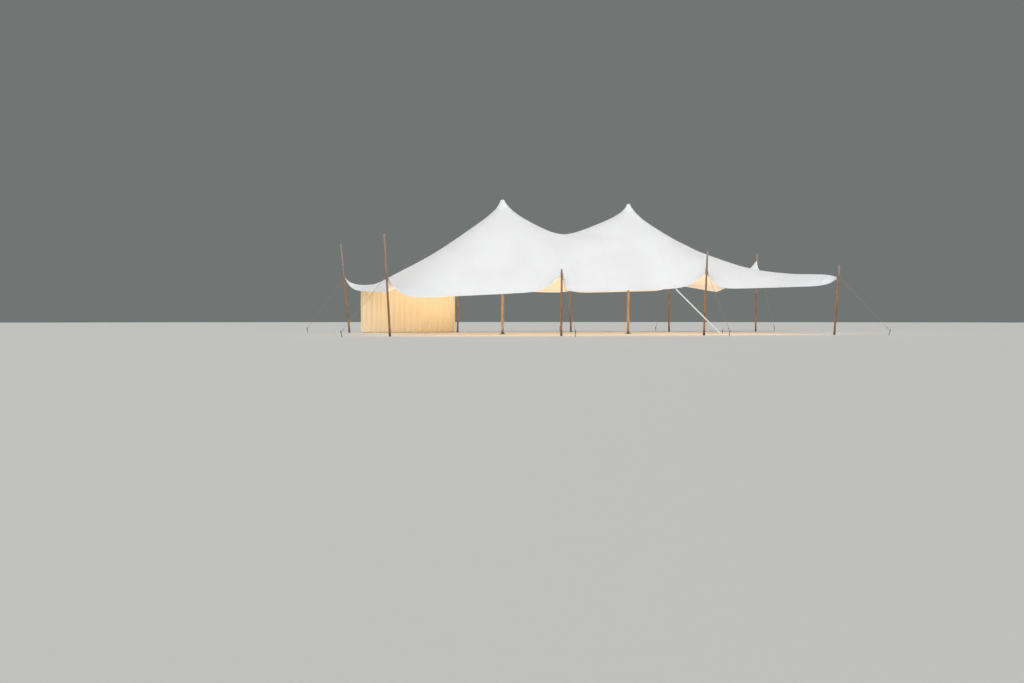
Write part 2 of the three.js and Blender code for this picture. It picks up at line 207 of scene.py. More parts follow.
@dataclass(frozen=True)
class ClothFinish(Finish):
    """A woven or knitted cloth, drawn on a UV map in metres.

    Attributes:
        face: Its main colour.
        shade: The colour of its duller patches; darkened, it is also the painted shade in the hollows of
            its weave and the colour of its stitches.
        weave: How its threads lie.
        thread: The spacing of its threads.
        relief: How proud its threads stand.
        see_through: The share of light that passes into it.
        stitch_rows: How far across the piece its stitch lines run.
        roughness: How matt it is.
        sheen: How strongly its fibres catch light along its edges.
    """

    face: Triple
    shade: Triple
    weave: Weave = Weave.KNIT
    thread: float = 0.0016
    relief: float = 0.00025
    see_through: float = 0.0
    stitch_rows: tuple[float, ...] = ()
    roughness: float = 0.8
    sheen: float = 0.15

    def threads(self, draft: ShaderDraft, along: object, across: object) -> Socket:
        """The height of the weave.

        Args:
            draft: The material.
            along: The distance along the cloth.
            across: The distance across it.

        Returns:
            The height's socket, from -1 to 1.
        """
        turn = FULL_TURN / self.thread
        weft = draft.number("SINE", draft.times(along, turn))
        if self.weave is Weave.RIBBED:
            return weft
        warp = draft.number("SINE", draft.times(across, turn))
        if self.weave is Weave.KNIT:
            weft = draft.number("ABSOLUTE", weft)
        return draft.times(warp, weft)

    def stitches(self, draft: ShaderDraft, along: object, across: object) -> Socket:
        """Where the stitches of the sewn lines lie.

        Args:
            draft: The material.
            along: The distance along the lines.
            across: The distance across them.

        Returns:
            A socket that is 1 on a stitch and 0 elsewhere.
        """
        stitch_length = 0.008
        half_width = 0.0011
        gap_level = -0.35
        dash = draft.number("SINE", draft.times(along, FULL_TURN / stitch_length))
        dash = draft.number("GREATER_THAN", dash, gap_level)
        line = 0.0
        for row in self.stitch_rows:
            off = draft.number("ABSOLUTE", draft.number("SUBTRACT", across, row))
            line = draft.number("MAXIMUM", line, draft.number("LESS_THAN", off, half_width))
        return draft.times(line, dash)

    def draw(self, draft: ShaderDraft) -> bpy.types.Material:
        """Draws the cloth's nodes.

        Args:
            draft: The material under construction.

        Returns:
            The material.
        """
        clouds_in_metre, specks_in_metre = 0.55, 9.0
        stitch_height = 0.0009
        flat = draft.coordinates("UV")
        here = draft.place.outputs["Object"]
        clouds = draft.grain(here, clouds_in_metre, detail=5, twist=0.4)
        specks = draft.grain(here, specks_in_metre, detail=6)
        dull = draft.times(draft.between(clouds, 0.42, 0.75), 0.55)
        dull = draft.plus(dull, draft.times(draft.between(specks, 0.55, 0.8), 0.25))
        tone = draft.mix(dull, self.face, self.shade)
        height = self.threads(draft, flat[0], flat[1])
        # Painted shade: the hollows between the threads are darkened towards the shade colour.
        hollow = draft.times(draft.between(height, 0.1, -1.0), 0.35)
        tone = draft.mix(hollow, tone, toned(self.shade, 0.8))
        relief = draft.times(height, self.relief)
        if self.stitch_rows:
            sewn = self.stitches(draft, flat[0], flat[1])
            tone = draft.mix(draft.times(sewn, 0.6), tone, toned(self.shade, 0.62))
            relief = draft.plus(relief, draft.times(sewn, stitch_height))
        bump = draft.bump(0.7, relief)
        rough = draft.plus(self.roughness - 0.08, draft.times(specks, 0.16))
        inputs = {
            "Base Color": tone,
            "Roughness": rough,
            "Normal": bump,
            "Sheen Weight": self.sheen,
            "Sheen Roughness": 0.5,
            "Specular IOR Level": 0.25,
        }
        surface = draft.surface(inputs)
        if self.see_through:
            glow = draft.add("BsdfTranslucent", {"Color": tone, "Normal": bump}).outputs[0]
            surface = draft.add("MixShader", {0: self.see_through, 1: surface, 2: glow}).outputs[0]
        return draft.finish(surface)


@dataclass(frozen=True)
class TimberFinish(Finish):
    """Wood with long grain, drying cracks, knots and a dark foot.

    Attributes:
        early: The pale wood between the grain lines.
        late: The dark grain lines.
        weathered: The grey of its sun-faded patches.
        cracked: How open its drying cracks are.
        painted_upper_light: How strongly cooler light on its upper half is painted into its colour.
        painted_upper_tint: The painted colour of that cooler light.
        gloss: Its roughness where it is handled.
    """

    early: Triple
    late: Triple
    weathered: Triple
    cracked: float = 0.5
    painted_upper_light: float = 0.0
    painted_upper_tint: Triple = (0.38, 0.31, 0.29)
    gloss: float = 0.62

    def draw(self, draft: ShaderDraft) -> bpy.types.Material:
        """Draws the wood's nodes.

        Args:
            draft: The material under construction.

        Returns:
            The material.
        """
        upper_light_from, upper_light_to = 1.7, 3.6
        dark_foot_from, dark_foot_to = 0.42, 0.12
        crack_colour, dark_foot_colour = (0.03, 0.02, 0.012), (0.045, 0.032, 0.022)
        fibre_height = 0.0018
        lengthwise = draft.stretched((1.0, 1.0, 0.07))
        fibres = draft.grain(lengthwise, 85.0, detail=7, twist=0.6)
        bands = draft.grain(lengthwise, 22.0, detail=3, twist=1.2)
        tone = draft.mix(draft.between(fibres, 0.35, 0.68), self.late, self.early)
        tone = draft.mix(draft.between(bands, 0.35, 0.62), tone, toned(self.late, 0.72))
        faded = draft.between(draft.grain(draft.stretched((1, 1, 0.25)), 6.0, detail=5), 0.5, 0.72)
        tone = draft.mix(draft.times(faded, 0.6), tone, self.weathered)
        height = draft.coordinates("Object")["Z"]
        # Painted light: from about 1.7 m up the wood is toned towards a cool grey-pink, the cooler light
        # that falls on the pole's upper half.
        high = draft.between(draft.plus(height, faded), upper_light_from, upper_light_to)
        tone = draft.mix(draft.times(high, self.painted_upper_light), tone, self.painted_upper_tint)
        splits = draft.grain(draft.stretched((1.0, 1.0, 0.02)), 60.0, detail=2, twist=0.3)
        crack = draft.between(draft.number("ABSOLUTE", draft.number("SUBTRACT", splits, 0.5)), 0.012, 0.0)
        crack = draft.times(crack, self.cracked)
        tone = draft.mix(crack, tone, crack_colour)
        knot = draft.painted("knot")
        tone = draft.mix(draft.times(knot, 0.8), tone, toned(self.late, 0.35))
        end = draft.painted("end_grain")
        tone = draft.mix(end, tone, toned(self.early, 1.35))
        # Darker towards the foot of the pole.
        towards_foot = draft.plus(height, draft.times(bands, 0.25))
        tone = draft.mix(draft.between(towards_foot, dark_foot_from, dark_foot_to), tone, dark_foot_colour)
        bump = draft.bump(0.8, draft.times(draft.number("SUBTRACT", fibres, crack), fibre_height))
        rough = draft.plus(self.gloss, draft.times(faded, 0.25))
        inputs = {"Base Color": tone, "Roughness": rough, "Normal": bump, "Specular IOR Level": 0.35}
        return draft.finish(draft.surface(inputs))


@dataclass(frozen=True)
class RopeFinish(Finish):
    """Twisted natural fibre, with painted shade between its strands.

    Attributes:
        crest: The colour of the strands.
        groove: The painted shade between the strands, and also the colour of its worn patches.
    """

    crest: Triple
    groove: Triple

    def draw(self, draft: ShaderDraft) -> bpy.types.Material:
        """Draws the rope's nodes.

        Args:
            draft: The material under construction.

        Returns:
            The material.
        """
        fibre_height = 0.0009
        crest = draft.painted("crest")
        flat = draft.coordinates("UV")
        hair = draft.add("CombineXYZ", {0: draft.times(flat[0], 0.25), 1: flat[1]}).outputs[0]
        fibres = draft.grain(hair, 260.0, detail=5, twist=0.4)
        worn = draft.grain(draft.place.outputs["Object"], 5.0, detail=3)
        # Painted shade: the colour runs from the crests down into the darker grooves between the strands.
        tone = draft.mix(crest, self.groove, self.crest)
        tone = draft.mix(draft.times(fibres, 0.55), tone, toned(self.crest, 0.55))
        tone = draft.mix(draft.times(worn, 0.35), tone, self.groove)
        bump = draft.bump(0.9, draft.times(fibres, fibre_height))
        inputs = {"Base Color": tone, "Roughness": 0.92, "Normal": bump, "Specular IOR Level": 0.15}
        return draft.finish(draft.surface(inputs))


@dataclass(frozen=True)
class SteelFinish(Finish):
    """Dark worn steel, rubbed bright in places and rusty in others.

    Attributes:
        paint: The colour of its coat.
        bare: The colour where the coat is rubbed off.
        rust: The colour of its rust.
    """

    paint: Triple
    bare: Triple
    rust: Triple

    def draw(self, draft: ShaderDraft) -> bpy.types.Material:
        """Draws the steel's nodes.

        Args:
            draft: The material under construction.

        Returns:
            The material.
        """
        pit_depth = 0.0004
        here = draft.place.outputs["Object"]
        scuffs = draft.grain(here, 55.0, detail=6, twist=0.5)
        spots = draft.grain(here, 130.0, detail=4)
        rubbed = draft.between(scuffs, 0.6, 0.7)
        rusted = draft.between(spots, 0.58, 0.72)
        tone = draft.mix(rubbed, self.paint, self.bare)
        tone = draft.mix(draft.times(rusted, 0.8), tone, self.rust)
        metal = draft.times(rubbed, draft.number("SUBTRACT", 1.0, rusted))
        rough = draft.plus(0.42, draft.times(rusted, 0.4))
        bump = draft.bump(0.5, draft.times(draft.plus(scuffs, spots), pit_depth))
        inputs = {"Base Color": tone, "Metallic": metal, "Roughness": rough, "Normal": bump}
        return draft.finish(draft.surface(inputs))


CANOPY_TOP = ClothFinish(
    "canopy_stretch_fabric", face=(0.885, 0.895, 0.92), shade=(0.785, 0.785, 0.8),
    see_through=0.2, roughness=0.72,
)
# Painted light: the underside's warm cream stands in for warm light from below on the same off-white cloth.
CANOPY_UNDERSIDE_WARM_PAINTED = ClothFinish(
    "canopy_underside_warm_painted", face=(0.9, 0.84, 0.75), shade=(0.8, 0.72, 0.6),
    see_through=0.2, roughness=0.85,
)
CANOPY_TRIM = ClothFinish(
    "canopy_hem_and_patches", face=(0.92, 0.915, 0.92), shade=(0.84, 0.83, 0.83), weave=Weave.PLAIN,
    thread=0.0022, relief=0.0004, see_through=0.08, stitch_rows=(0.01, 0.018, 0.05), roughness=0.76,
)
SEAM_TAPE = ClothFinish(
    "canopy_seam_tape", face=(0.92, 0.925, 0.94), shade=(0.855, 0.855, 0.86), weave=Weave.PLAIN,
    thread=0.0022, relief=0.0004, stitch_rows=(0.01, 0.018), roughness=0.76,
)
# Painted light: the warm cream of these patches is painted warm light from below, as on the underside.
UNDERSIDE_TRIM_WARM_PAINTED = ClothFinish(
    "canopy_underside_patches_warm_painted", face=(0.88, 0.82, 0.73), shade=(0.77, 0.69, 0.58), weave=Weave.PLAIN,
    thread=0.0022, relief=0.0004, see_through=0.05, stitch_rows=(0.01, 0.018), roughness=0.85,
)
WALL_CLOTH = ClothFinish(
    "wall_cloth", face=(0.92, 0.8, 0.6), shade=(0.82, 0.68, 0.46), weave=Weave.PLAIN, thread=0.002,
    relief=0.0003, see_through=0.3, stitch_rows=(0.028, 0.034, 2.05, 2.06), roughness=0.88, sheen=0.25,
)
STRAP_WEBBING = ClothFinish(
    "white_strap_webbing", face=(0.84, 0.82, 0.78), shade=(0.62, 0.58, 0.52), weave=Weave.RIBBED,
    thread=0.0026, relief=0.0006, stitch_rows=(0.004, 0.046), roughness=0.7, sheen=0.3,
)
POLE_TIMBER = TimberFinish(
    "peeled_pole_timber", early=(0.46, 0.25, 0.115), late=(0.26, 0.13, 0.06), weathered=(0.4, 0.26, 0.165),
    cracked=0.9, painted_upper_light=0.7,
)
KING_TIMBER = TimberFinish(
    "oiled_king_timber", early=(0.46, 0.31, 0.18), late=(0.28, 0.17, 0.09), weathered=(0.42, 0.31, 0.21),
    cracked=0.4, gloss=0.48,
)
NATURAL_ROPE = RopeFinish("twisted_natural_rope", crest=(0.56, 0.45, 0.29), groove=(0.2, 0.145, 0.085))
DARK_STEEL = SteelFinish(
    "dark_worn_steel", paint=(0.05, 0.05, 0.055), bare=(0.34, 0.33, 0.32), rust=(0.2, 0.08, 0.035)
)


@dataclass(frozen=True)
class Anchor:
    """A point of the canopy's rim that is tied to a pole.

    Attributes:
        at: Where it is, measured from the point half way between the king poles.
        into: The direction into the cloth, along its length and its width.
    """

    at: Triple
    into: Pair


@dataclass(frozen=True)
class Bay:
    """A stretch of the rim that hangs between two anchors.

    Attributes:
        start: The anchor that it starts from.
        end: The anchor that it ends at.
        dips: How far it falls below its start and its end.
        steep: How steep its two shoulders are.
        rounded: How far each shoulder is rounded off.
        inward: How far its middle is drawn in.
        columns: How many coarse steps it has.
    """

    start: str
    end: str
    dips: Pair
    steep: Pair
    rounded: Pair
    inward: float
    columns: int


@dataclass(frozen=True)
class Hollow:
    """A place where the cloth hangs lower, or stands higher if its depth is below 0.

    Attributes:
        x: Where it is along the tent, measured as for an anchor.
        y: Where it is across it.
        depth: How far the cloth falls at its middle.
        half_length: How far it reaches along the tent.
        half_width: How far it reaches across it.
    """

    x: float
    y: float
    depth: float
    half_length: float
    half_width: float


SITE_CENTRE = np.array((1.209, 0.9, 0.0))
DIAGONAL = math.sqrt(0.5)
ANCHORS = {
    "front_left": Anchor((-7.77, -4.1, 2.15), (DIAGONAL, DIAGONAL)),
    "front_middle": Anchor((-1.31, -4.1, 2.25), (0, 1)),
    "front_right": Anchor((4.46, -4.1, 2.44), (0, 1)),
    "right_end": Anchor((10.02, -4.1, 2.27), (-DIAGONAL, DIAGONAL)),
    "back_right": Anchor((11.39, 5.9, 3.5), (-DIAGONAL, -DIAGONAL)),
    "back_middle_right": Anchor((6.83, 5.9, 2.3), (0, -1)),
    "back_middle_left": Anchor((1.79, 5.9, 2.0), (0, -1)),
    "back_wall": Anchor((-3.65, 5.9, 2.35), (0, -1)),
    "back_left": Anchor((-8.85, 5.9, 2.48), (DIAGONAL, -DIAGONAL)),
}
FRONT_BAYS = (
    Bay("front_left", "front_middle", (0.8, 0.56), (8, 10), (1, 2), 0.35, 18),
    Bay("front_middle", "front_right", (0.6, 0.6), (24, 7), (1.5, 1.3), 0.35, 17),
    Bay("front_right", "right_end", (0.66, 0.3), (8, 10), (1.3, 1), 0.35, 17),
)
BACK_BAYS = (
    Bay("back_left", "back_wall", (0.35, 0.3), (8, 8), (1, 1), 0.35, 13),
    Bay("back_wall", "back_middle_left", (0.35, 0.13), (8, 8), (1, 1), 0.35, 13),
    Bay("back_middle_left", "back_middle_right", (0.13, 0.28), (8, 8), (1, 1), 0.35, 13),
    Bay("back_middle_right", "back_right", (0.6, 1.25), (1.3, 1.3), (1, 1), 0.4, 13),
)
ROWS = 34
LEFT_BAYS = (Bay("front_left", "back_left", (0.56, 0.56), (8, 8), (1, 1), 0.6, ROWS),)
RIGHT_BAYS = (Bay("right_end", "back_right", (-0.12, 0.6), (8, 8), (1, 1), 0.35, ROWS),)
CROWNS = {"left": (-2.72, 0.0, 5.525), "right": (2.7, 0.0, 5.485)}
HOLLOWS = (
    Hollow(-0.54, 0.0, depth=0.32, half_length=1.58, half_width=2.5),
    Hollow(4.31, 0.0, depth=0.21, half_length=1.58, half_width=2.5),
    Hollow(8.1, -0.4, depth=0.114, half_length=1.8, half_width=2.5),
    Hollow(-7.05, 2.2, depth=-0.186, half_length=1.32, half_width=2.4),
)


def plan_distance(grid: np.ndarray, x: float, y: float) -> np.ndarray:
    """The plan distance from each of a grid's points to a place."""
    return np.hypot(grid[..., 0] - x, grid[..., 1] - y)


@dataclass
class StretchedNet:
    """The canopy's form: an elastic net held at its rim and lifted by the king poles.

    Attributes:
        fineness: How many fine steps lie in a coarse one.
        crown_radius: The size of the rounded crowns.
        crown_drop: How far a crown's edge lies under its top.
        fall: How fast the cloth's tension falls away from a king pole.
        core: The distance within which that tension stays level.
        hollows: Where it hangs lower or stands higher.
        hollow_clearance: How far from a king pole the hollows fade out.
        rim_power: How close to the rim the hollows fade out.
        crowding: How strongly the net crowds towards its anchors.
        coarse_settling: How often the coarse net's points move, and how far past their balance.
        fine_settling: The same for the fine net.
        points: The finished net's points, by column and row.
        normals: The upward normal at each of them.
        along: How far along the cloth each column lies.
        across: How far across it each row lies.
    """

    fineness: int = 4
    crown_radius: float = 0.08
    crown_drop: float = 0.034
    fall: float = 0.85
    core: float = 0.18
    hollows: tuple[Hollow, ...] = HOLLOWS
    hollow_clearance: float = 0.45
    rim_power: float = 12
    crowding: float = 0.1
    coarse_settling: tuple[int, float] = (900, 1.85)
    fine_settling: tuple[int, float] = (500, 1.93)
    points: np.ndarray = field(init=False)
    normals: np.ndarray = field(init=False)
    along: np.ndarray = field(init=False)
    across: np.ndarray = field(init=False)

    def __post_init__(self) -> None:
        """Relaxes a coarse net first, then the fine one from it."""
        coarse = self.plan(1)
        self.relax(coarse, *self.coarse_settling)
        fine = self.plan(self.fineness)
        fine[1:-1, 1:-1, 2] = self.finer(coarse[..., 2], fine.shape[:2])[1:-1, 1:-1]
        self.relax(fine, *self.fine_settling)
        free = ~self.held(fine) * (1 - np.exp(-((self.reach(fine) / self.hollow_clearance) ** 2)))
        s, t = (np.abs(np.linspace(-1, 1, size)) for size in fine.shape[:2])
        free = free * np.outer(1 - s**self.rim_power, 1 - t**self.rim_power)
        for hollow in self.hollows:
            along = (fine[..., 0] - hollow.x) / hollow.half_length
            across = (fine[..., 1] - hollow.y) / hollow.half_width
            fine[..., 2] -= free * hollow.depth * np.exp(-(along**2) - across**2)
        self.points = fine
        self.normals = self.normals_of(fine)
        self.points = fine + self.normals * self.folds(fine)[..., None] - SITE_CENTRE
        self.normals = self.normals_of(self.points)
        lengths = np.linalg.norm(np.diff(self.points, axis=0), axis=2).mean(1)
        widths = np.linalg.norm(np.diff(self.points, axis=1), axis=2).mean(0)
        self.along = np.concatenate([[0], np.cumsum(lengths)])
        self.across = np.concatenate([[0], np.cumsum(widths)])

    def edge(self, bays: Sequence[Bay], side: int, fineness: int) -> np.ndarray:
        """One edge of the rim.

        Args:
            bays: Its bays in order.
            side: 1 where the cloth lies to the left of the edge, -1 where it lies to the right.
            fineness: How many steps lie in a coarse one.

        Returns:
            Its points.
        """
        pieces = [np.array([ANCHORS[bays[0].start].at])]
        for bay in bays:
            steps = np.arange(1, bay.columns * fineness + 1) / (bay.columns * fineness)
            share = steps - self.crowding * np.sin(FULL_TURN * steps)
            start, end = (np.array(ANCHORS[name].at) for name in (bay.start, bay.end))
            line = start + (end - start) * share[:, None]
            from_middle = np.abs(2 * share - 1)
            dip = bay.dips[0] + (bay.dips[1] - bay.dips[0]) * share
            steep, rounded = (np.where(share < 0.5, *pair) for pair in (bay.steep, bay.rounded))
            line[:, 2] -= dip * (1 - from_middle**steep) ** rounded
            heading = (end - start)[:2] / np.linalg.norm((end - start)[:2])
            inward = side * bay.inward * (1 - from_middle**2)
            line[:, :2] += np.array([-heading[1], heading[0]]) * inward[:, None]
            pieces.append(line)
        return np.vstack(pieces)

    def plan(self, fineness: int) -> np.ndarray:
        """The net's plan, blended between its edges and gathered at the king poles.

        Args:
            fineness: How many steps lie in a coarse one.

        Returns:
            Its points, by column and row.
        """
        front, back = self.edge(FRONT_BAYS, 1, fineness), self.edge(BACK_BAYS, -1, fineness)
        left, right = self.edge(LEFT_BAYS, -1, fineness), self.edge(RIGHT_BAYS, 1, fineness)
        s = np.linspace(0, 1, len(front))[:, None, None]
        t = np.linspace(0, 1, len(left))[None, :, None]
        grid = (1 - t) * front[:, None] + t * back[:, None] + (1 - s) * left[None] + s * right[None]
        grid -= (1 - s) * ((1 - t) * front[0] + t * back[0]) + s * ((1 - t) * front[-1] + t * back[-1])
        inside = np.zeros(grid.shape[:2], bool)
        inside[1:-1, 1:-1] = True
        shift_reach, gather_reach, gather = 1.2, 0.9, 0.5
        for x, y, _ in CROWNS.values():
            pole = np.array((x, y))
            away = np.linalg.norm(grid[..., :2] - pole, axis=2)
            nearest = grid[np.unravel_index(np.argmin(away), away.shape)][:2]
            pull = np.where(inside, np.exp(-((away / shift_reach) ** 2)), 0)
            grid[..., :2] += pull[..., None] * (pole - nearest)
            away = np.linalg.norm(grid[..., :2] - pole, axis=2)
            squeeze = np.where(inside, gather * np.exp(-((away / gather_reach) ** 2)), 0)
            grid[..., :2] += squeeze[..., None] * (pole - grid[..., :2])
        return grid

    def reach(self, grid: np.ndarray) -> np.ndarray:
        """The plan distance from each of a grid's points to the nearer king pole."""
        return np.min([plan_distance(grid, x, y) for x, y, _ in CROWNS.values()], axis=0)

    def held(self, grid: np.ndarray) -> np.ndarray:
        """Finds the points that don't move, which are the rim's and the crowns'.

        Args:
            grid: The net's points.

        Returns:
            True at each such point.
        """
        fixed = self.reach(grid) <= self.crown_radius
        fixed[[0, -1], :] = True
        fixed[:, [0, -1]] = True
        return fixed

    def relax(self, grid: np.ndarray, sweeps: int, overshoot: float) -> None:
        """Lets the net come to rest under its tension.

        Args:
            grid: Its points, whose heights are changed.
            sweeps: How often every point moves.
            overshoot: How far past its balance a point moves each time.
        """
        fixed = self.held(grid)
        height = grid[..., 2]
        for x, y, apex in CROWNS.values():
            away = plan_distance(grid, x, y)
            crown = away <= self.crown_radius
            height[crown] = apex - self.crown_drop * (away[crown] / self.crown_radius) ** 2
        tension = (self.reach(grid) + self.core) ** -self.fall
        step_along = np.linalg.norm(np.diff(grid[..., :2], axis=0), axis=2)
        step_across = np.linalg.norm(np.diff(grid[..., :2], axis=1), axis=2)
        wide = np.pad(step_across, ((0, 0), (1, 1)), mode="edge")
        wide = (wide[:, 1:] + wide[:, :-1]) / 2
        long = np.pad(step_along, ((1, 1), (0, 0)), mode="edge")
        long = (long[1:] + long[:-1]) / 2
        pull_along = (tension[1:] + tension[:-1]) * (wide[1:] + wide[:-1]) / step_along
        pull_across = (tension[:, 1:] + tension[:, :-1]) * (long[:, 1:] + long[:, :-1]) / step_across

        def gathered(low: np.ndarray, high: np.ndarray) -> np.ndarray:
            """Sums what comes along the ties.

            Args:
                low: What comes from the neighbours before each point.
                high: What comes from the neighbours after it.

            Returns:
                The sum at each point.
            """
            total = np.zeros_like(height)
            total[1:] += pull_along * low[:-1]
            total[:-1] += pull_along * high[1:]
            total[:, 1:] += pull_across * low[:, :-1]
            total[:, :-1] += pull_across * high[:, 1:]
            return total

        ones = np.ones_like(height)
        total = gathered(ones, ones)
        column, row = np.indices(height.shape)
        turns = [~fixed & ((column + row) % 2 == parity) for parity in (0, 1)]
        for _ in range(sweeps):
            for free in turns:
                balance = gathered(height, height) / total
                height[free] += overshoot * (balance[free] - height[free])

    @staticmethod
    def finer(coarse: np.ndarray, shape: tuple[int, int]) -> np.ndarray:
        """Reads a coarse grid of heights at a finer grid's steps.

        Args:
            coarse: The coarse heights.
            shape: The fine grid's columns and rows.

        Returns:
            The fine heights.
        """
        columns, rows = (np.linspace(0, size - 1, count) for size, count in zip(coarse.shape, shape))
        half = np.array([np.interp(columns, range(len(line)), line) for line in coarse.T]).T
        return np.array([np.interp(rows, range(len(line)), line) for line in half])

    @staticmethod
    def normals_of(grid: np.ndarray) -> np.ndarray:
        """The upward normal at each of a grid's points."""
        normal = np.cross(np.gradient(grid, axis=0), np.gradient(grid, axis=1))
        return normal / np.linalg.norm(normal, axis=2, keepdims=True)

    @staticmethod
    def folds(grid: np.ndarray) -> np.ndarray:
        """Works out the small tension folds that fan out from the crowns and anchors.

        Args:
            grid: The net's points.

        Returns:
            How far each point is lifted.
        """
        crown_lift, crown_reach = 0.007, 0.55
        anchor_lift, anchor_reach = 0.006, 0.6
        slack_lift, fold_start, smooth_rim = 0.003, 0.3, 0.2
        lift = np.zeros(grid.shape[:2])
        for k, (x, y, _) in enumerate(CROWNS.values()):
            away = plan_distance(grid, x, y)
            turn = np.arctan2(grid[..., 1] - y, grid[..., 0] - x)
            ripple = np.sin(11 * turn + k) + 0.6 * np.sin(17 * turn + 2.1 * k + 0.7)
            swell = (away / crown_reach) ** 2
            fade = np.exp(2 - 2 * away / crown_reach)
            lift += crown_lift * ripple * swell * fade * np.clip(away / fold_start, 0, 1)
        for k, anchor in enumerate(ANCHORS.values()):
            x, y, _ = anchor.at
            away = plan_distance(grid, x, y)
            turn = np.arctan2(grid[..., 1] - y, grid[..., 0] - x)
            ripple = np.sin(13 * turn + 1.3 * k) + 0.5 * np.sin(21 * turn + k)
            fade = np.exp(1 - away / anchor_reach)
            lift += anchor_lift * ripple * (away / anchor_reach) * fade * np.clip(away / fold_start, 0, 1)
        x, y = grid[..., 0], grid[..., 1]
        slack = np.sin(1.7 * x + 0.6 * np.sin(1.1 * y)) * np.sin(1.3 * y + 0.4)
        inside = np.zeros(grid.shape[:2])
        inside[1:-1, 1:-1] = 1
        rim = np.minimum.reduce([plan_distance(grid, *anchor.at[:2]) for anchor in ANCHORS.values()])
        return (lift + slack_lift * slack) * inside * np.clip(rim / smooth_rim, 0, 1)

    def read(self, values: np.ndarray, u: float, v: float) -> Vector:
        """Reads an array between its points.

        Args:
            values: A value for each point of the net.
            u: The place along the cloth.
            v: The place across it.

        Returns:
            The value there.
        """
        s = float(np.interp(u, self.along, np.arange(len(self.along))))
        t = float(np.interp(v, self.across, np.arange(len(self.across))))
        i, j = min(int(s), len(self.along) - 2), min(int(t), len(self.across) - 2)
        a, b = s - i, t - j
        low = values[i, j] * (1 - a) + values[i + 1, j] * a
        high = values[i, j + 1] * (1 - a) + values[i + 1, j + 1] * a
        return Vector(low * (1 - b) + high * b)

    def on_cloth(self, u: float, v: float, lift: float) -> Vector:
        """The point that stands off the cloth's upper face by a lift, along its normal."""
        return self.read(self.points, u, v) + lift * self.read(self.normals, u, v)

    def corner(self, name: str) -> Pair:
        """Finds an anchor on the cloth.

        Args:
            name: The anchor.

        Returns:
            Its place along and across the cloth.
        """
        at = np.array(ANCHORS[name].at) - SITE_CENTRE
        away = np.linalg.norm(self.points - at, axis=2)
        i, j = np.unravel_index(np.argmin(away), away.shape)
        return float(self.along[i]), float(self.across[j])

    @cached_property
    def rim(self) -> list[tuple[Vector, Vector, Vector]]:
        """The rim's points in order, each with the way into the cloth and the normal."""
        last_i, last_j = (size - 1 for size in self.points.shape[:2])
        loop = [(i, 0) for i in range(last_i)] + [(last_i, j) for j in range(last_j)]
        loop += [(i, last_j) for i in range(last_i, 0, -1)] + [(0, j) for j in range(last_j, 0, -1)]
        found = []
        for i, j in loop:
            step_i = (i == 0) - (i == last_i)
            step_j = (j == 0) - (j == last_j)
            here = Vector(self.points[i, j])
            into = Vector(self.points[i + step_i, j + step_j]) - here
            into = into.normalized() * math.hypot(step_i, step_j)
            found.append((here, into, Vector(self.normals[i, j])))
        return found


def on_circle(turn: float, reach: float = 1.0, height: float = 0.0) -> Vector:
    """A point of a level circle round the origin, by its direction, reach and height."""
    return Vector((reach * math.cos(turn), reach * math.sin(turn), height))


def levelled(way: Vector) -> Vector:
    """A direction's level part, of unit length."""
    return Vector((way.x, way.y, 0)).normalized()


def tie_point(name: str) -> Vector:
    """Where an anchor of the rim is tied."""
    return Vector(ANCHORS[name].at) - Vector(SITE_CENTRE)


def start_mesh() -> Shape:
    """An empty mesh with the layers that the finishes read."""
    mesh = bmesh.new()
    mesh.loops.layers.uv.new("UVMap")
    for name in ("crest", "knot", "end_grain"):
        mesh.verts.layers.float.new(name)
    return mesh


def weld(mesh: Shape, verts: Sequence[bmesh.types.BMVert]) -> None:
    """Merges the vertices that lie in one place."""
    bmesh.ops.remove_doubles(mesh, verts=verts, dist=WELD_DISTANCE)


def faces_of(verts: Iterable[bmesh.types.BMVert]) -> list[bmesh.types.BMFace]:
    """The faces that meet at some vertices, each of them once."""
    return list({face for vert in verts for face in vert.link_faces})


def mapped_grid(
    mesh: Shape,
    columns: int,
    rows: int,
    place: Callable[[float, float], Vector],
    flat: Callable[[float, float], Pair],
) -> list[bmesh.types.BMVert]:
    """Adds a grid and lays it over a surface.

    Args:
        mesh: The mesh that it joins.
        columns: Its faces one way.
        rows: Its faces the other way.
        place: Gives a point from two shares of the grid, each 0 to 1.
        flat: Gives the point's place on the flat cloth from the same shares.

    Returns:
        The new vertices.
    """
    uv = mesh.loops.layers.uv.active
    made = bmesh.ops.create_grid(mesh, x_segments=columns, y_segments=rows, size=0.5)["verts"]
    shares = {}
    for vert in made:
        column, row = round((vert.co.x + 0.5) * columns), round((vert.co.y + 0.5) * rows)
        shares[vert] = (column / columns, row / rows)
    for face in faces_of(made):
        face.smooth = True
        for loop in face.loops:
            loop[uv].uv = flat(*shares[loop.vert])
    for vert, share in shares.items():
        vert.co = place(*share)
    return made


def ribbon(
    mesh: Shape,
    path: Sequence[Vector],
    sides: Sequence[Vector],
    width: float,
    across: int = 4,
) -> None:
    """Adds a flat strip that follows a path.

    Args:
        mesh: The mesh that it joins.
        path: The points of its middle line.
        sides: The direction across the strip at each point.
        width: Its width.
        across: Its faces from side to side.
    """
    steps = [0.0]
    for before, after in zip(path[:-1], path[1:]):
        steps.append(steps[-1] + (after - before).length)
    last = len(path) - 1

    def place(s: float, t: float) -> Vector:
        """A point of the strip from its shares along and across."""
        k = round(s * last)
        return path[k] + sides[k].normalized() * (t - 0.5) * width

    mapped_grid(mesh, last, across, place, lambda s, t: (steps[round(s * last)], t * width))


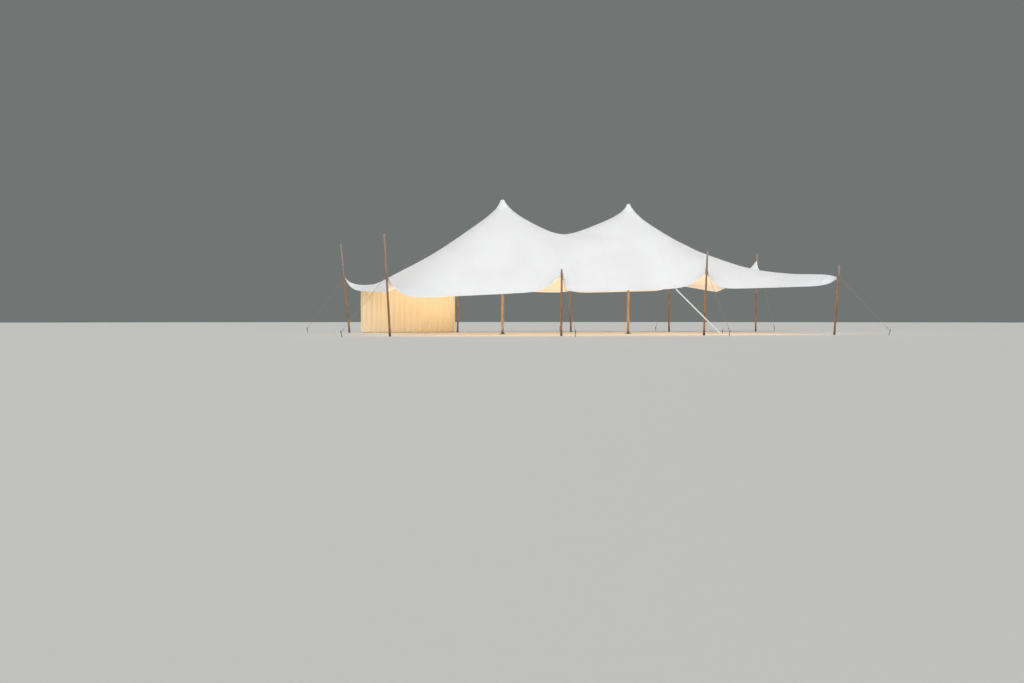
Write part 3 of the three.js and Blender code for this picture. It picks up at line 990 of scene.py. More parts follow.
def frames_along(path: Sequence[Vector]) -> list[Matrix]:
    """Frames that follow a path without turning about it.

    Args:
        path: Its points.

    Returns:
        A matrix for each point, whose Z runs along the path.
    """
    frames = []
    side = None
    for k, point in enumerate(path):
        before = path[max(0, k - 1)]
        after = path[min(k + 1, len(path) - 1)]
        heading = (after - before).normalized()
        if side is None:
            side = heading.orthogonal().normalized()
        side = (side - heading * side.dot(heading)).normalized()
        turned = Matrix((side, heading.cross(side), heading)).transposed().to_4x4()
        frames.append(Matrix.Translation(point) @ turned)
    return frames


def sweep(
    mesh: Shape,
    outline: Sequence[Triple],
    path: Sequence[Vector],
    lay: float = 0.0,
    ends: Pair = (1.0, 1.0),
) -> None:
    """Draws an outline along a path, ring by ring, and closes both ends.

    Args:
        mesh: The mesh that it joins.
        outline: Its points across the path and how proud each stands.
        path: The points that it follows.
        lay: The length in which it turns once about the path, or 0 if it doesn't.
        ends: The size of its first and last ring.
    """
    strand_width = 0.01
    crest, uv = mesh.verts.layers.float["crest"], mesh.loops.layers.uv.active
    frames = frames_along(path)
    ring = bmesh.ops.create_circle(mesh, cap_ends=False, radius=1.0, segments=len(outline))["verts"]
    for vert, (x, y, proud) in zip(ring, outline):
        vert.co = (x, y, 0)
        vert[crest] = proud
    gone = 0.0
    sizes = [1.0] * len(path)
    sizes[0], sizes[-1] = ends
    last = frames[0] @ Matrix.Scale(sizes[0], 4)
    bmesh.ops.transform(mesh, matrix=last, verts=ring)
    edges = list(dict.fromkeys(edge for vert in ring for edge in vert.link_edges))
    bmesh.ops.edgeloop_fill(mesh, edges=edges)
    for k in range(1, len(path)):
        step = (path[k] - path[k - 1]).length
        grown = bmesh.ops.extrude_edge_only(mesh, edges=edges)["geom"]
        ring = [part for part in grown if isinstance(part, bmesh.types.BMVert)]
        fresh = set(ring)
        edges = [p for p in grown if isinstance(p, bmesh.types.BMEdge) and fresh.issuperset(p.verts)]
        gone += step
        spun = Matrix.Rotation(FULL_TURN * gone / lay, 4, "Z") if lay else Matrix.Identity(4)
        now = frames[k] @ spun @ Matrix.Scale(sizes[k], 4)
        bmesh.ops.transform(mesh, matrix=now @ last.inverted(), verts=ring)
        last = now
        for face in (p for p in grown if isinstance(p, bmesh.types.BMFace)):
            face.smooth = True
            for loop in face.loops:
                far = gone if loop.vert in fresh else gone - step
                loop[uv].uv = (loop.vert[crest] * strand_width, far)
    bmesh.ops.edgeloop_fill(mesh, edges=edges)


def rope_outline(radius: float, strands: int = 3, groove: float = 0.13) -> list[Triple]:
    """The outline of a laid rope.

    Args:
        radius: How far its strands reach.
        strands: How many strands it has.
        groove: How deep the grooves between them are.

    Returns:
        Its points and how proud each stands, from 0 to 1.
    """
    outline = []
    for k in range(3 * strands):
        turn = FULL_TURN * k / (3 * strands)
        proud = (1 + math.cos(strands * turn)) / 2
        reach = radius * (1 - 2 * groove * (1 - proud))
        outline.append((reach * math.cos(turn), reach * math.sin(turn), proud))
    return outline


def line_points(start: Vector, end: Vector, step: float) -> list[Vector]:
    """Evenly spaced points from a start to an end, both included."""
    count = max(2, math.ceil((end - start).length / step))
    return [start.lerp(end, k / count) for k in range(count + 1)]


def turned(mesh: Shape, profile: Sequence[Pair], place: Matrix, steps: int) -> None:
    """Adds a round piece made by spinning a profile about its upright axis.

    Args:
        mesh: The mesh that it joins.
        profile: Its radius and height, from one end on the axis to the other.
        place: Where the piece goes.
        steps: How many faces it has all round.
    """
    verts = [mesh.verts.new((radius, 0, height)) for radius, height in profile]
    edges = [mesh.edges.new(pair) for pair in zip(verts[:-1], verts[1:])]
    before = set(mesh.verts) - set(verts)
    bmesh.ops.spin(
        mesh, geom=verts + edges, cent=(0, 0, 0), axis=(0, 0, 1), dvec=(0, 0, 0), angle=FULL_TURN,
        steps=steps, use_merge=True, use_normal_flip=False, use_duplicate=False,
    )
    fresh = [vert for vert in mesh.verts if vert not in before]
    weld(mesh, fresh)
    fresh = [vert for vert in mesh.verts if vert not in before]
    faces = faces_of(fresh)
    bmesh.ops.recalc_face_normals(mesh, faces=faces)
    bmesh.ops.transform(mesh, matrix=place, verts=fresh)
    for face in faces:
        face.smooth = True


def finish_piece(
    name: str,
    mesh: Shape,
    finishes: Sequence[Finish],
    replaces: Iterable[str] = (),
    thickness: float = 0.0,
    lining: int = 0,
) -> Piece:
    """Turns a mesh into a finished piece that rides with the tent.

    Args:
        name: The piece's name.
        mesh: Its shape, which is used up.
        finishes: The finishes of its material slots.
        replaces: The plain solids that it stands for.
        thickness: How thick an open sheet is made, or 0 for a closed shape.
        lining: How many slots further the sheet's inner face takes its finish from.

    Returns:
        The piece.
    """
    if not thickness:
        bmesh.ops.recalc_face_normals(mesh, faces=mesh.faces)
    for edge in mesh.edges:
        if len(edge.link_faces) == 2 and edge.calc_face_angle(0) > SHARP_EDGE:
            edge.smooth = False
    data = bpy.data.meshes.new(name)
    mesh.to_mesh(data)
    mesh.free()
    piece = bpy.data.objects.new(name, data)
    bpy.context.scene.collection.objects.link(piece)
    for finish in finishes:
        data.materials.append(finish.material())
    if thickness:
        shell = piece.modifiers.new("thickness", "SOLIDIFY")
        shell.thickness = thickness
        shell.offset = -1
        shell.material_offset = lining
        shell.material_offset_rim = 0
        shell.use_even_offset = True
    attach(piece, BODY)
    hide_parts(*replaces)
    log.info("%s: %d faces", name, len(data.polygons))
    return piece


@dataclass(frozen=True)
class Shaft:
    """A straight solid's axis, read from its two level end faces.

    Attributes:
        low: The centre of its lower end.
        high: The centre of its upper end.
        foot_radius: Its radius at the lower end.
        top_radius: Its radius at the upper end.
    """

    low: Vector
    high: Vector
    foot_radius: float
    top_radius: float

    @classmethod
    def of_node(cls, name: str) -> "Shaft":
        """Reads a node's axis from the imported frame.

        Args:
            name: The node.

        Returns:
            Its axis and radii.
        """
        corners = {tuple(round(c, 5) for c in vert.co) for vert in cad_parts[name].data.vertices}
        middle = (min(c[2] for c in corners) + max(c[2] for c in corners)) / 2
        ends = []
        for high in (False, True):
            ring = [Vector(c) for c in corners if (c[2] > middle) is high]
            lows, highs = ([pick(p[k] for p in ring) for k in range(3)] for pick in (min, max))
            centre = (Vector(lows) + Vector(highs)) / 2
            ends.append((centre, max((p - centre).length for p in ring)))
        (low, foot_radius), (high, top_radius) = ends
        return cls(low, high, foot_radius, top_radius)

    def at(self, height: float) -> Vector:
        """The axis at a height."""
        return self.low.lerp(self.high, (height - self.low.z) / (self.high.z - self.low.z))

    def radius(self, height: float) -> float:
        """The radius at a height."""
        share = (height - self.low.z) / (self.high.z - self.low.z)
        return self.foot_radius + (self.top_radius - self.foot_radius) * share

    def slanted(self, height: float) -> Matrix:
        """Stands a level piece on the leaning axis.

        Args:
            height: The height of its origin.

        Returns:
            The matrix that does so.
        """
        run = (self.high - self.low) / (self.high.z - self.low.z)
        lean = Matrix(((1, 0, run.x, 0), (0, 1, run.y, 0), (0, 0, 1, 0), (0, 0, 0, 1)))
        return Matrix.Translation(self.at(height)) @ lean


@dataclass
class Canopy:
    """The stretched sheet with its hem, seams, patches and webbing loops.

    Attributes:
        net: Its form.
        flat_length: The sheet's length before it is stretched; not used.
        flat_width: The sheet's width before it is stretched; not used.
        thickness: The modelled thickness of the cloth.
        hem: The width of the hem.
        panels: How many strips of cloth the sheet is sewn from.
        corner_patch: The radius of the patches at the four corners.
        edge_patch: The radius of the patches at the edge anchors.
        crown_patch: The plan radius of the patches over the king poles.
        crown_cuts: How often the net's steps are cut under those patches, so that the crowns are round.
        seam: The width of the seams' tape.
        loop_width: The width of the webbing loops.
        loop_sewn: How far in from the rim the loops are sewn on.
        mesh: The sheet's upper face, until it is finished.
        surface: The same face, for finding what lies on it.
    """

    net: StretchedNet
    flat_length: float = 15.0
    flat_width: float = 10.5
    thickness: float = CLOTH_THICKNESS
    hem: float = 0.06
    panels: int = 10
    corner_patch: float = 0.6
    edge_patch: float = 0.42
    crown_patch: float = 0.3
    crown_cuts: int = 3
    seam: float = 0.028
    loop_width: float = 0.05
    loop_sewn: float = 0.26
    mesh: Shape = field(init=False)
    surface: BVHTree = field(init=False)

    def __post_init__(self) -> None:
        """Lays the sheet's upper face over the net."""
        self.mesh = start_mesh()
        columns, rows = (size - 1 for size in self.net.points.shape[:2])

        def place(s: float, t: float) -> Vector:
            """A point of the net from its shares."""
            return Vector(self.net.points[round(s * columns), round(t * rows)])

        def flat(s: float, t: float) -> Pair:
            """The same point on the flat cloth."""
            return self.net.along[round(s * columns)], self.net.across[round(t * rows)]

        mapped_grid(self.mesh, columns, rows, place, flat)
        round_reach = self.crown_patch - 0.05
        for x, y, _ in CROWNS.values():
            centre = Vector((x, y)) - Vector(SITE_CENTRE[:2])
            crown = [vert for vert in self.mesh.verts if (vert.co.xy - centre).length < round_reach]
            edges = list({edge for vert in crown for edge in vert.link_edges})
            self.mesh.normal_update()
            bmesh.ops.subdivide_edges(
                self.mesh, edges=edges, cuts=self.crown_cuts, smooth=1.0, smooth_falloff="LINEAR",
                use_grid_fill=True,
            )
        for face in self.mesh.faces:
            face.smooth = True
        self.surface = BVHTree.FromBMesh(self.mesh)

    def build(self) -> None:
        """Builds the cloth and everything sewn to it."""
        cloth = self.make_cloth()
        trims = [self.make_hem(), self.make_seams(), self.make_patches(), self.make_loops()]

    def make_cloth(self) -> Piece:
        """The sheet itself; the cream of its underside is painted warm light from below, on the same
        off-white cloth.
        """
        finishes = [CANOPY_TOP, CANOPY_UNDERSIDE_WARM_PAINTED]
        return finish_piece(
            "canopy_cloth", self.mesh, finishes, ["canopy"],
            thickness=self.thickness, lining=1,
        )

    def make_hem(self) -> Piece:
        """The folded hem with its cord, wrapped round the rim."""
        under = -self.thickness
        profile = (
            (self.hem, under - 0.0008), (0.035, under - 0.002), (0.014, under - 0.003),
            (0.004, under - 0.006), (-0.006, under - 0.004), (-0.009, -0.002), (-0.006, 0.0045),
            (0.004, 0.0065), (0.014, 0.0035), (0.035, 0.0025), (self.hem, 0.0008),
        )
        rim = self.net.rim
        lengths = np.cumsum([(a[0] - b[0]).length for a, b in zip(rim, rim[-1:] + rim[:-1])])
        last = len(profile) - 1

        def place(s: float, t: float) -> Vector:
            """Finds a point of the folded hem.

            Args:
                s: The share round the rim.
                t: The share across the band, from its sewn edge below to the one above.

            Returns:
                The point.
            """
            here, into, normal = rim[round(s * len(rim)) % len(rim)]
            inward, lift = profile[round(t * last)]
            return here + into * inward + normal * lift

        def flat(s: float, t: float) -> Pair:
            """The same point on the unfolded band, measured from the nearer sewn edge."""
            return lengths[round(s * len(rim)) - 1], self.hem - profile[round(t * last)][0]

        mesh = start_mesh()
        verts = mapped_grid(mesh, len(rim), last, place, flat)
        weld(mesh, verts)
        return finish_piece("canopy_hem", mesh, [CANOPY_TRIM], thickness=0.0012)

    def make_seams(self) -> Piece:
        """The flat seams that join the sheet's strips, from front to back."""
        inset, lift, first_row = 0.03, 0.0016, 0.0065
        mesh = start_mesh()
        net = self.net
        length, breadth = net.along[-1], net.across[-1]

        def flat(s: float, t: float) -> Pair:
            """A point of the flat tape."""
            return t * breadth, first_row + s * self.seam / 2

        for k in range(1, self.panels):
            middle = length * k / self.panels

            def place(s: float, t: float, middle: float = middle) -> Vector:
                """A point of the seam, of which the middle line is given."""
                return net.on_cloth(middle + (s - 0.5) * self.seam, inset + t * (breadth - 2 * inset), lift)

            mapped_grid(mesh, 2, len(net.across) - 1, place, flat)
        return finish_piece("canopy_seams", mesh, [SEAM_TAPE], thickness=0.0012)

    def make_patches(self) -> Piece:
        """The doubled cloth over the crowns and, above and below, at the anchors."""
        mesh = start_mesh()
        for name in ANCHORS:
            self.add_fans(mesh, name)
        for x, y, _ in CROWNS.values():
            self.add_crown_patch(mesh, Vector((x, y, 0)) - Vector(SITE_CENTRE))
        finishes = [CANOPY_TRIM, UNDERSIDE_TRIM_WARM_PAINTED]
        return finish_piece("canopy_patches", mesh, finishes, thickness=0.0014)

    def add_fans(self, mesh: Shape, name: str) -> None:
        """Adds the two fan-shaped patches of an anchor, one above the cloth and one below.

        Args:
            mesh: The mesh that they join.
            name: The anchor.
        """
        lift, first_row = 0.0022, 0.008
        into = ANCHORS[name].into
        at_corner = bool(into[0] and into[1])
        radius = self.corner_patch if at_corner else self.edge_patch
        opening = math.pi / 2 if at_corner else math.pi
        first = math.atan2(into[1], into[0]) - opening / 2
        u, v = (edge + self.hem * np.sign(way) for edge, way in zip(self.net.corner(name), into))
        for lifted in (lift, -self.thickness - lift):

            def place(s: float, t: float, lifted: float = lifted) -> Vector:
                """A point of the fan, so far off the cloth."""
                turn, reach = first + s * opening, radius * (1 - t)
                return self.net.on_cloth(u + reach * math.cos(turn), v + reach * math.sin(turn), lifted)

            verts = mapped_grid(
                mesh, 20, 14, place, lambda s, t: (s * opening * radius, first_row + t * radius)
            )
            for face in faces_of(verts):
                face.material_index = int(lifted < 0)
            weld(mesh, verts)

    def add_crown_patch(self, mesh: Shape, centre: Vector) -> None:
        """Adds the round patch over a king pole.

        Args:
            mesh: The mesh that it joins.
            centre: The place of the pole's axis, at the ground.
        """
        lift, first_row = 0.0035, 0.008
        over_everything = 10

        def place(s: float, t: float) -> Vector:
            """Finds a point of the patch.

            Args:
                s: The share round it.
                t: The share from its edge to its middle.

            Returns:
                The point, just off the cloth.
            """
            from_above = centre + on_circle(FULL_TURN * s, self.crown_patch * (1 - t), over_everything)
            hit, normal, _, _ = self.surface.ray_cast(from_above, -UP)
            return hit + normal * math.copysign(lift, normal.z)

        def flat(s: float, t: float) -> Pair:
            """The same point on the flat cloth."""
            return s * FULL_TURN * self.crown_patch, first_row + t * self.crown_patch

        verts = mapped_grid(mesh, 144, 16, place, flat)
        weld(mesh, verts)

    def make_loops(self) -> Piece:
        """The webbing loops that the lashings pass through, one at each anchor."""
        lift, steps, twist_power = 0.0055, 10, 4
        bend = (
            (0.001, 0.006), (0.004, 0.017), (0.008, 0.019), (0.0105, 0.014), (0.011, 0.0),
            (0.0105, -0.018), (0.008, -0.023), (0.004, -0.021), (0.001, -0.01),
        )
        mesh = start_mesh()
        for name, anchor in ANCHORS.items():
            u, v = self.net.corner(name)
            into = Vector((*anchor.into, 0))
            tip = tie_point(name)
            outward = levelled(Shaft.of_node(f"lashing_{name}").at(tip.z) - tip)
            distances = [self.loop_sewn * (1 - k / steps) for k in range(steps)]
            places = [(u + into.x * distance, v + into.y * distance) for distance in distances]
            top = [self.net.on_cloth(*place, lift) for place in places]
            below = [self.net.on_cloth(*place, -self.thickness - lift) for place in places]
            level = UP.cross(outward)
            flat_sides = []
            for k, place in enumerate(places):
                heading = top[min(k + 1, steps - 1)] - top[max(k - 1, 0)]
                side = self.net.read(self.net.normals, *place).cross(heading).normalized()
                side = side * math.copysign(1, side.dot(level))
                flat_sides.append(side.lerp(level, (k / (steps - 1)) ** twist_power))
            path = top + [tip + outward * out + UP * rise for out, rise in bend] + below[::-1]
            ribbon(mesh, path, flat_sides + [level] * len(bend) + flat_sides[::-1], self.loop_width)
        return finish_piece(
            "canopy_webbing_loops", mesh, [STRAP_WEBBING], thickness=0.0022
        )


@dataclass
class EdgePole:
    """A peeled round pole at the rim, a little crooked, with knots and a sawn top.

    Attributes:
        name: The anchor that it holds.
        crook: How far it strays from a straight line.
        knots: How many knots it has.
        sides: How many faces it has all round.
        rings: How many steps it has from its foot to its top.
        eased: How far its end edges are rounded off.
        knot_height: How far its knots stand out.
    """

    name: str
    crook: float = 0.009
    knots: int = 7
    sides: int = 20
    rings: int = 64
    eased: float = 0.0025
    knot_height: float = 0.005

    def build(self) -> None:
        """Builds the pole."""
        shaft = Shaft.of_node(f"pole_{self.name}")
        tie = ANCHORS[self.name].at[2]
        draws = random.Random(f"pole {self.name}")
        bow_way = on_circle(draws.uniform(0, FULL_TURN))
        top = shaft.high.z
        lowest, below_top, smallest, largest = 0.3, 0.15, 0.014, 0.024
        knots = []
        for _ in range(self.knots):
            height, turn = draws.uniform(lowest, top - below_top), draws.uniform(0, FULL_TURN)
            knots.append((height, turn, draws.uniform(smallest, largest)))
        rough_height, swell_height, sunk = 0.0022, 0.0016, 0.001
        bow_above_tie, smooth_reach = 0.4, 0.15
        heights = [0.0, 0.004]
        heights += [top * k / self.rings for k in range(1, self.rings)]
        heights += [top - 0.006, top]

        def knottiness(turn: float, height: float) -> float:
            """Tells how much of a knot there is at a place on the bark.

            Args:
                turn: The direction from the axis.
                height: The height over the ground.

            Returns:
                A share from 0 to 1.
            """
            found = 0.0
            for at, towards, size in knots:
                gap = abs((turn - towards + math.pi) % FULL_TURN - math.pi) * shaft.radius(at)
                found = max(found, math.exp(-((gap / size) ** 2) - ((height - at) / (1.5 * size)) ** 2))
            return found

        def place(s: float, t: float) -> Vector:
            """Finds a point of the bark, smooth where the rope is wound.

            Args:
                s: The share round the pole.
                t: The share of its rings from its foot.

            Returns:
                The point.
            """
            turn, height = FULL_TURN * s, heights[round(t * (len(heights) - 1))]
            bow = math.sin(math.pi * height / tie) + 0.4 * math.sin(FULL_TURN * height / tie)
            bow *= self.crook * (1 if height < tie else bow_above_tie)
            around = on_circle(turn)
            rough = noise.noise(Vector((around.x * 1.4, around.y * 1.4, height * 2.2 + top * 9)))
            swell = noise.noise(Vector((0.3, top * 7, height * 1.6)))
            bark = rough_height * rough + swell_height * swell - sunk
            bark += self.knot_height * knottiness(turn, height)
            eased = self.eased if height in (0.0, top) else 0.0
            reach = shaft.radius(height) - eased + bark * min(1.0, abs(height - tie) / smooth_reach)
            return shaft.at(height) + bow_way * bow + around * reach

        mesh = start_mesh()
        verts = mapped_grid(mesh, self.sides, len(heights) - 1, place, lambda s, t: (s * 0.25, t * top))
        for vert in verts:
            out = vert.co - shaft.at(vert.co.z)
            share = knottiness(math.atan2(out.y, out.x), vert.co.z)
            vert[mesh.verts.layers.float["knot"]] = max(0.0, 2 * share - 1)
        weld(mesh, verts)
        rims = [edge for edge in mesh.edges if edge.is_boundary]
        ends = bmesh.ops.edgeloop_fill(mesh, edges=rims)["faces"]
        inner = bmesh.ops.inset_region(mesh, faces=ends, thickness=0.006, depth=0.0005)["faces"]
        for vert in {vert for face in ends + inner for vert in face.verts}:
            vert[mesh.verts.layers.float["end_grain"]] = 1.0
        finish_piece(
            f"edge_pole_{self.name}", mesh, [POLE_TIMBER], [f"pole_{self.name}"]
        )


@dataclass
class Lashing:
    """Rope wound round a pole through the canopy's webbing loop, ended in a knot with two tails.

    Attributes:
        rope: The rope's radius.
        lay: The length of one twist of its strands.
        turns: The height of the middle and the turns of each winding.
        steps_in_turn: How many steps a turn has.
        pole: The radius of the usual pole.
        knot: The knot's size.
        tails: The side and the length of each of its tails.
    """

    rope: float = 0.0046
    lay: float = 0.034
    turns: tuple[Pair, ...] = ((-0.031, 2.0), (0.0, 3.0), (0.031, 2.0))
    steps_in_turn: int = 64
    pole: float = 0.04
    knot: float = 0.0078
    tails: tuple[tuple[int, float], ...] = ((-1, 0.12), (1, 0.085))

    def template(self) -> bpy.types.Mesh:
        """The windings and the knot round a pole of the usual size, standing at the origin."""
        bite, start_turn = 0.0004, 0.3
        mesh = start_mesh()
        outline = rope_outline(self.rope)
        around = self.pole + self.rope - bite
        pitch = 2.06 * self.rope
        for k, (middle, count) in enumerate(self.turns):
            steps = round(count * self.steps_in_turn)
            path = []
            for step in range(steps + 1):
                turn = FULL_TURN * (count * step / steps + start_turn * k)
                height = middle + pitch * count * (step / steps - 0.5)
                path.append(on_circle(turn, around, height))
            sweep(mesh, outline, path, self.lay, ends=(0.55, 0.55))
        self.add_knot(mesh, outline, around + 1.3 * self.rope)
        data = bpy.data.meshes.new("lashing_template")
        mesh.to_mesh(data)
        mesh.free()
        return data

    def add_knot(self, mesh: Shape, outline: Sequence[Triple], out: float) -> None:
        """Ties the rope off in an overhand knot.

        Args:
            mesh: The mesh that it joins.
            outline: The rope's outline.
            out: How far the knot lies from the pole's axis.
        """
        knot_steps, tail_steps = 60, 18
        centre = Vector((0, out, -0.004))
        knot = []
        for k in range(knot_steps + 1):
            t = FULL_TURN * (0.02 + 0.96 * k / knot_steps)
            across, over = math.sin(t) + 2 * math.sin(2 * t), -0.9 * math.sin(3 * t)
            knot.append(centre + self.knot * Vector((across, over, math.cos(t) - 2 * math.cos(2 * t))))
        sweep(mesh, outline, knot, self.lay)
        for side, drop in self.tails:
            tail = []
            for k in range(tail_steps + 1):
                share = k / tail_steps
                sway = side * (0.006 + 0.016 * math.sin(2.2 * share))
                tail.append(centre + Vector((sway, 0.006 * math.sin(3 * share), -0.004 - drop * share)))
            sweep(mesh, outline, tail, self.lay, ends=(1.0, 1.15))

    def build(self, template: bpy.types.Mesh, name: str) -> None:
        """Winds the rope round one pole.

        Args:
            template: The windings round a pole of the usual size.
            name: The anchor's name.
        """
        node = f"lashing_{name}"
        collar = Shaft.of_node(node)
        pole = Shaft.of_node(f"pole_{name}")
        height = (collar.low.z + collar.high.z) / 2
        outward = collar.at(height) - tie_point(name)
        facing = Matrix.Rotation(math.atan2(outward.y, outward.x), 4, "Z")
        fit = (pole.radius(height) + self.rope) / (self.pole + self.rope)
        mesh = start_mesh()
        mesh.from_mesh(template)
        scale = Matrix.Diagonal((fit, fit, 1, 1))
        bmesh.ops.transform(mesh, matrix=pole.slanted(height) @ facing @ scale, verts=mesh.verts)
        finish_piece(f"rope_lashing_{name}", mesh, [NATURAL_ROPE], [node])


@dataclass
class Stay:
    """A rope from a pole to its stake, with an eye and a whipping at each end.

    Attributes:
        rope: The rope's radius.
        lay: The length of one twist of its strands.
        eye: How far the upper eye reaches from the pole's axis.
        stake_eye: How far the lower eye reaches from the stake's axis.
        over: How far the upper eye stands off the pole, over its lashing.
        ring_step: The length of rope between two of its rings.
        cord: The radius of the whipping's cord.
        cord_turns: How many turns the whipping has.
    """

    rope: float = 0.006
    lay: float = 0.044
    eye: float = 0.17
    stake_eye: float = 0.1
    over: float = 0.0086
    ring_step: float = 0.0052
    cord: float = 0.0024
    cord_turns: int = 8

    def eye_path(
        self, shaft: Shaft, start: Vector, heading: Vector, reach: float, over: float
    ) -> list[Vector]:
        """The rope's way round a post and back to where its legs meet.

        Args:
            shaft: The post's axis.
            start: A point on the stay's line.
            heading: The way from the post to the other end, level, with the rise for each metre as its z.
            reach: How far from the axis the legs meet.
            over: How far the rope stands off the post.

        Returns:
            Its points, from the meeting point round to it again.
        """
        leg_steps, least_arc_steps, half_gap = 20, 16, 0.0035
        away = Vector((heading.x, heading.y, 0))
        side = UP.cross(away)
        near = shaft.at(start.z)
        offset = (start - near).dot(away)

        def at(x: float, y: float) -> Vector:
            """Finds a point of the eye, which follows the post's lean.

            Args:
                x: The distance from the axis, along the stay.
                y: The distance across the stay.

            Returns:
                The point.
            """
            height = start.z + heading.z * (x - offset)
            post = shaft.at(height)
            share = min(1.0, abs(x) / reach)
            centre = post.lerp(near, share)
            return Vector((centre.x, centre.y, height)) + away * x + side * y

        round_post = shaft.radius(start.z) + self.rope + over
        first = math.acos(round_post / reach)
        touch = (round_post * math.cos(first), round_post * math.sin(first))
        leg = []
        for k in range(leg_steps):
            along = reach + (touch[0] - reach) * k / leg_steps
            leg.append((along, half_gap + (touch[1] - half_gap) * k / leg_steps))
        arc_steps = max(least_arc_steps, round((FULL_TURN - 2 * first) * round_post / self.ring_step))
        arc = []
        for k in range(arc_steps + 1):
            turn = first + (FULL_TURN - 2 * first) * k / arc_steps
            arc.append((round_post * math.cos(turn), round_post * math.sin(turn)))
        back = [(x, -y) for x, y in reversed(leg)]
        return [at(x, y) for x, y in leg + arc + back]

    def whipping(self, mesh: Shape, start: Vector, along: Vector) -> None:
        """Binds the rope to its eye with close turns of cord.

        Args:
            mesh: The mesh that it joins.
            start: Where the binding starts on the stay's line.
            along: The way that it runs, of unit length.
        """
        steps_in_turn, cord_lay = 20, 0.02
        side = along.orthogonal().normalized()
        other = along.cross(side)
        path = []
        for k in range(self.cord_turns * steps_in_turn + 1):
            turn = FULL_TURN * k / steps_in_turn
            ring = (side * math.cos(turn) + other * math.sin(turn)) * (self.rope * 1.75)
            path.append(start + ring + along * (2.05 * self.cord * k / steps_in_turn))
        sweep(mesh, rope_outline(self.cord, groove=0.05), path, cord_lay, ends=(0.5, 0.5))

    def build(self, name: str) -> None:
        """Runs the rope from its pole to its stake.

        Args:
            name: The anchor's name.
        """
        tuck = 0.006
        line = Shaft.of_node(f"stay_{name}")
        pole, stake = Shaft.of_node(f"pole_{name}"), Shaft.of_node(f"stake_{name}")
        run = line.low - line.high
        away = levelled(run)
        fall = run.z / Vector((run.x, run.y)).length
        outline = rope_outline(self.rope)
        mesh = start_mesh()
        ends = []
        for shaft, end, heading, reach, over in (
            (pole, line.high, Vector((away.x, away.y, fall)), self.eye, self.over),
            (stake, line.low, Vector((-away.x, -away.y, -fall)), self.stake_eye, 0.0),
        ):
            path = self.eye_path(shaft, end, heading, reach, over)
            sweep(mesh, outline, path, self.lay)
            along = heading.normalized()
            self.whipping(mesh, path[0] - along * tuck, along)
            ends.append((path[0] + path[-1]) / 2)
        sweep(mesh, outline, line_points(ends[0], ends[1], self.ring_step), self.lay)
        finish_piece(f"rope_stay_{name}", mesh, [NATURAL_ROPE], [f"stay_{name}"])


@dataclass
class Stake:
    """A forged pin driven into the ground, with a mushroomed head.

    Attributes:
        head: How far its head stands out past the pin.
    """

    head: float = 0.006

    def build(self, node: str) -> None:
        """Forges one pin.

        Args:
            node: The plain pin that it stands for.
        """
        pin = Shaft.of_node(node)
        radius, top = pin.foot_radius, pin.high.z
        head = radius + self.head
        profile = (
            (0, 0.0), (radius, 0.0), (radius, top - 0.03), (radius * 1.05, top - 0.022),
            (head, top - 0.018), (head, top - 0.01), (radius + 0.003, top - 0.002),
            (radius * 0.5, top), (0, top),
        )
        mesh = start_mesh()
        turned(mesh, profile, pin.slanted(0.0), steps=18)
        finish_piece(f"{node}_pin", mesh, [DARK_STEEL], [node])


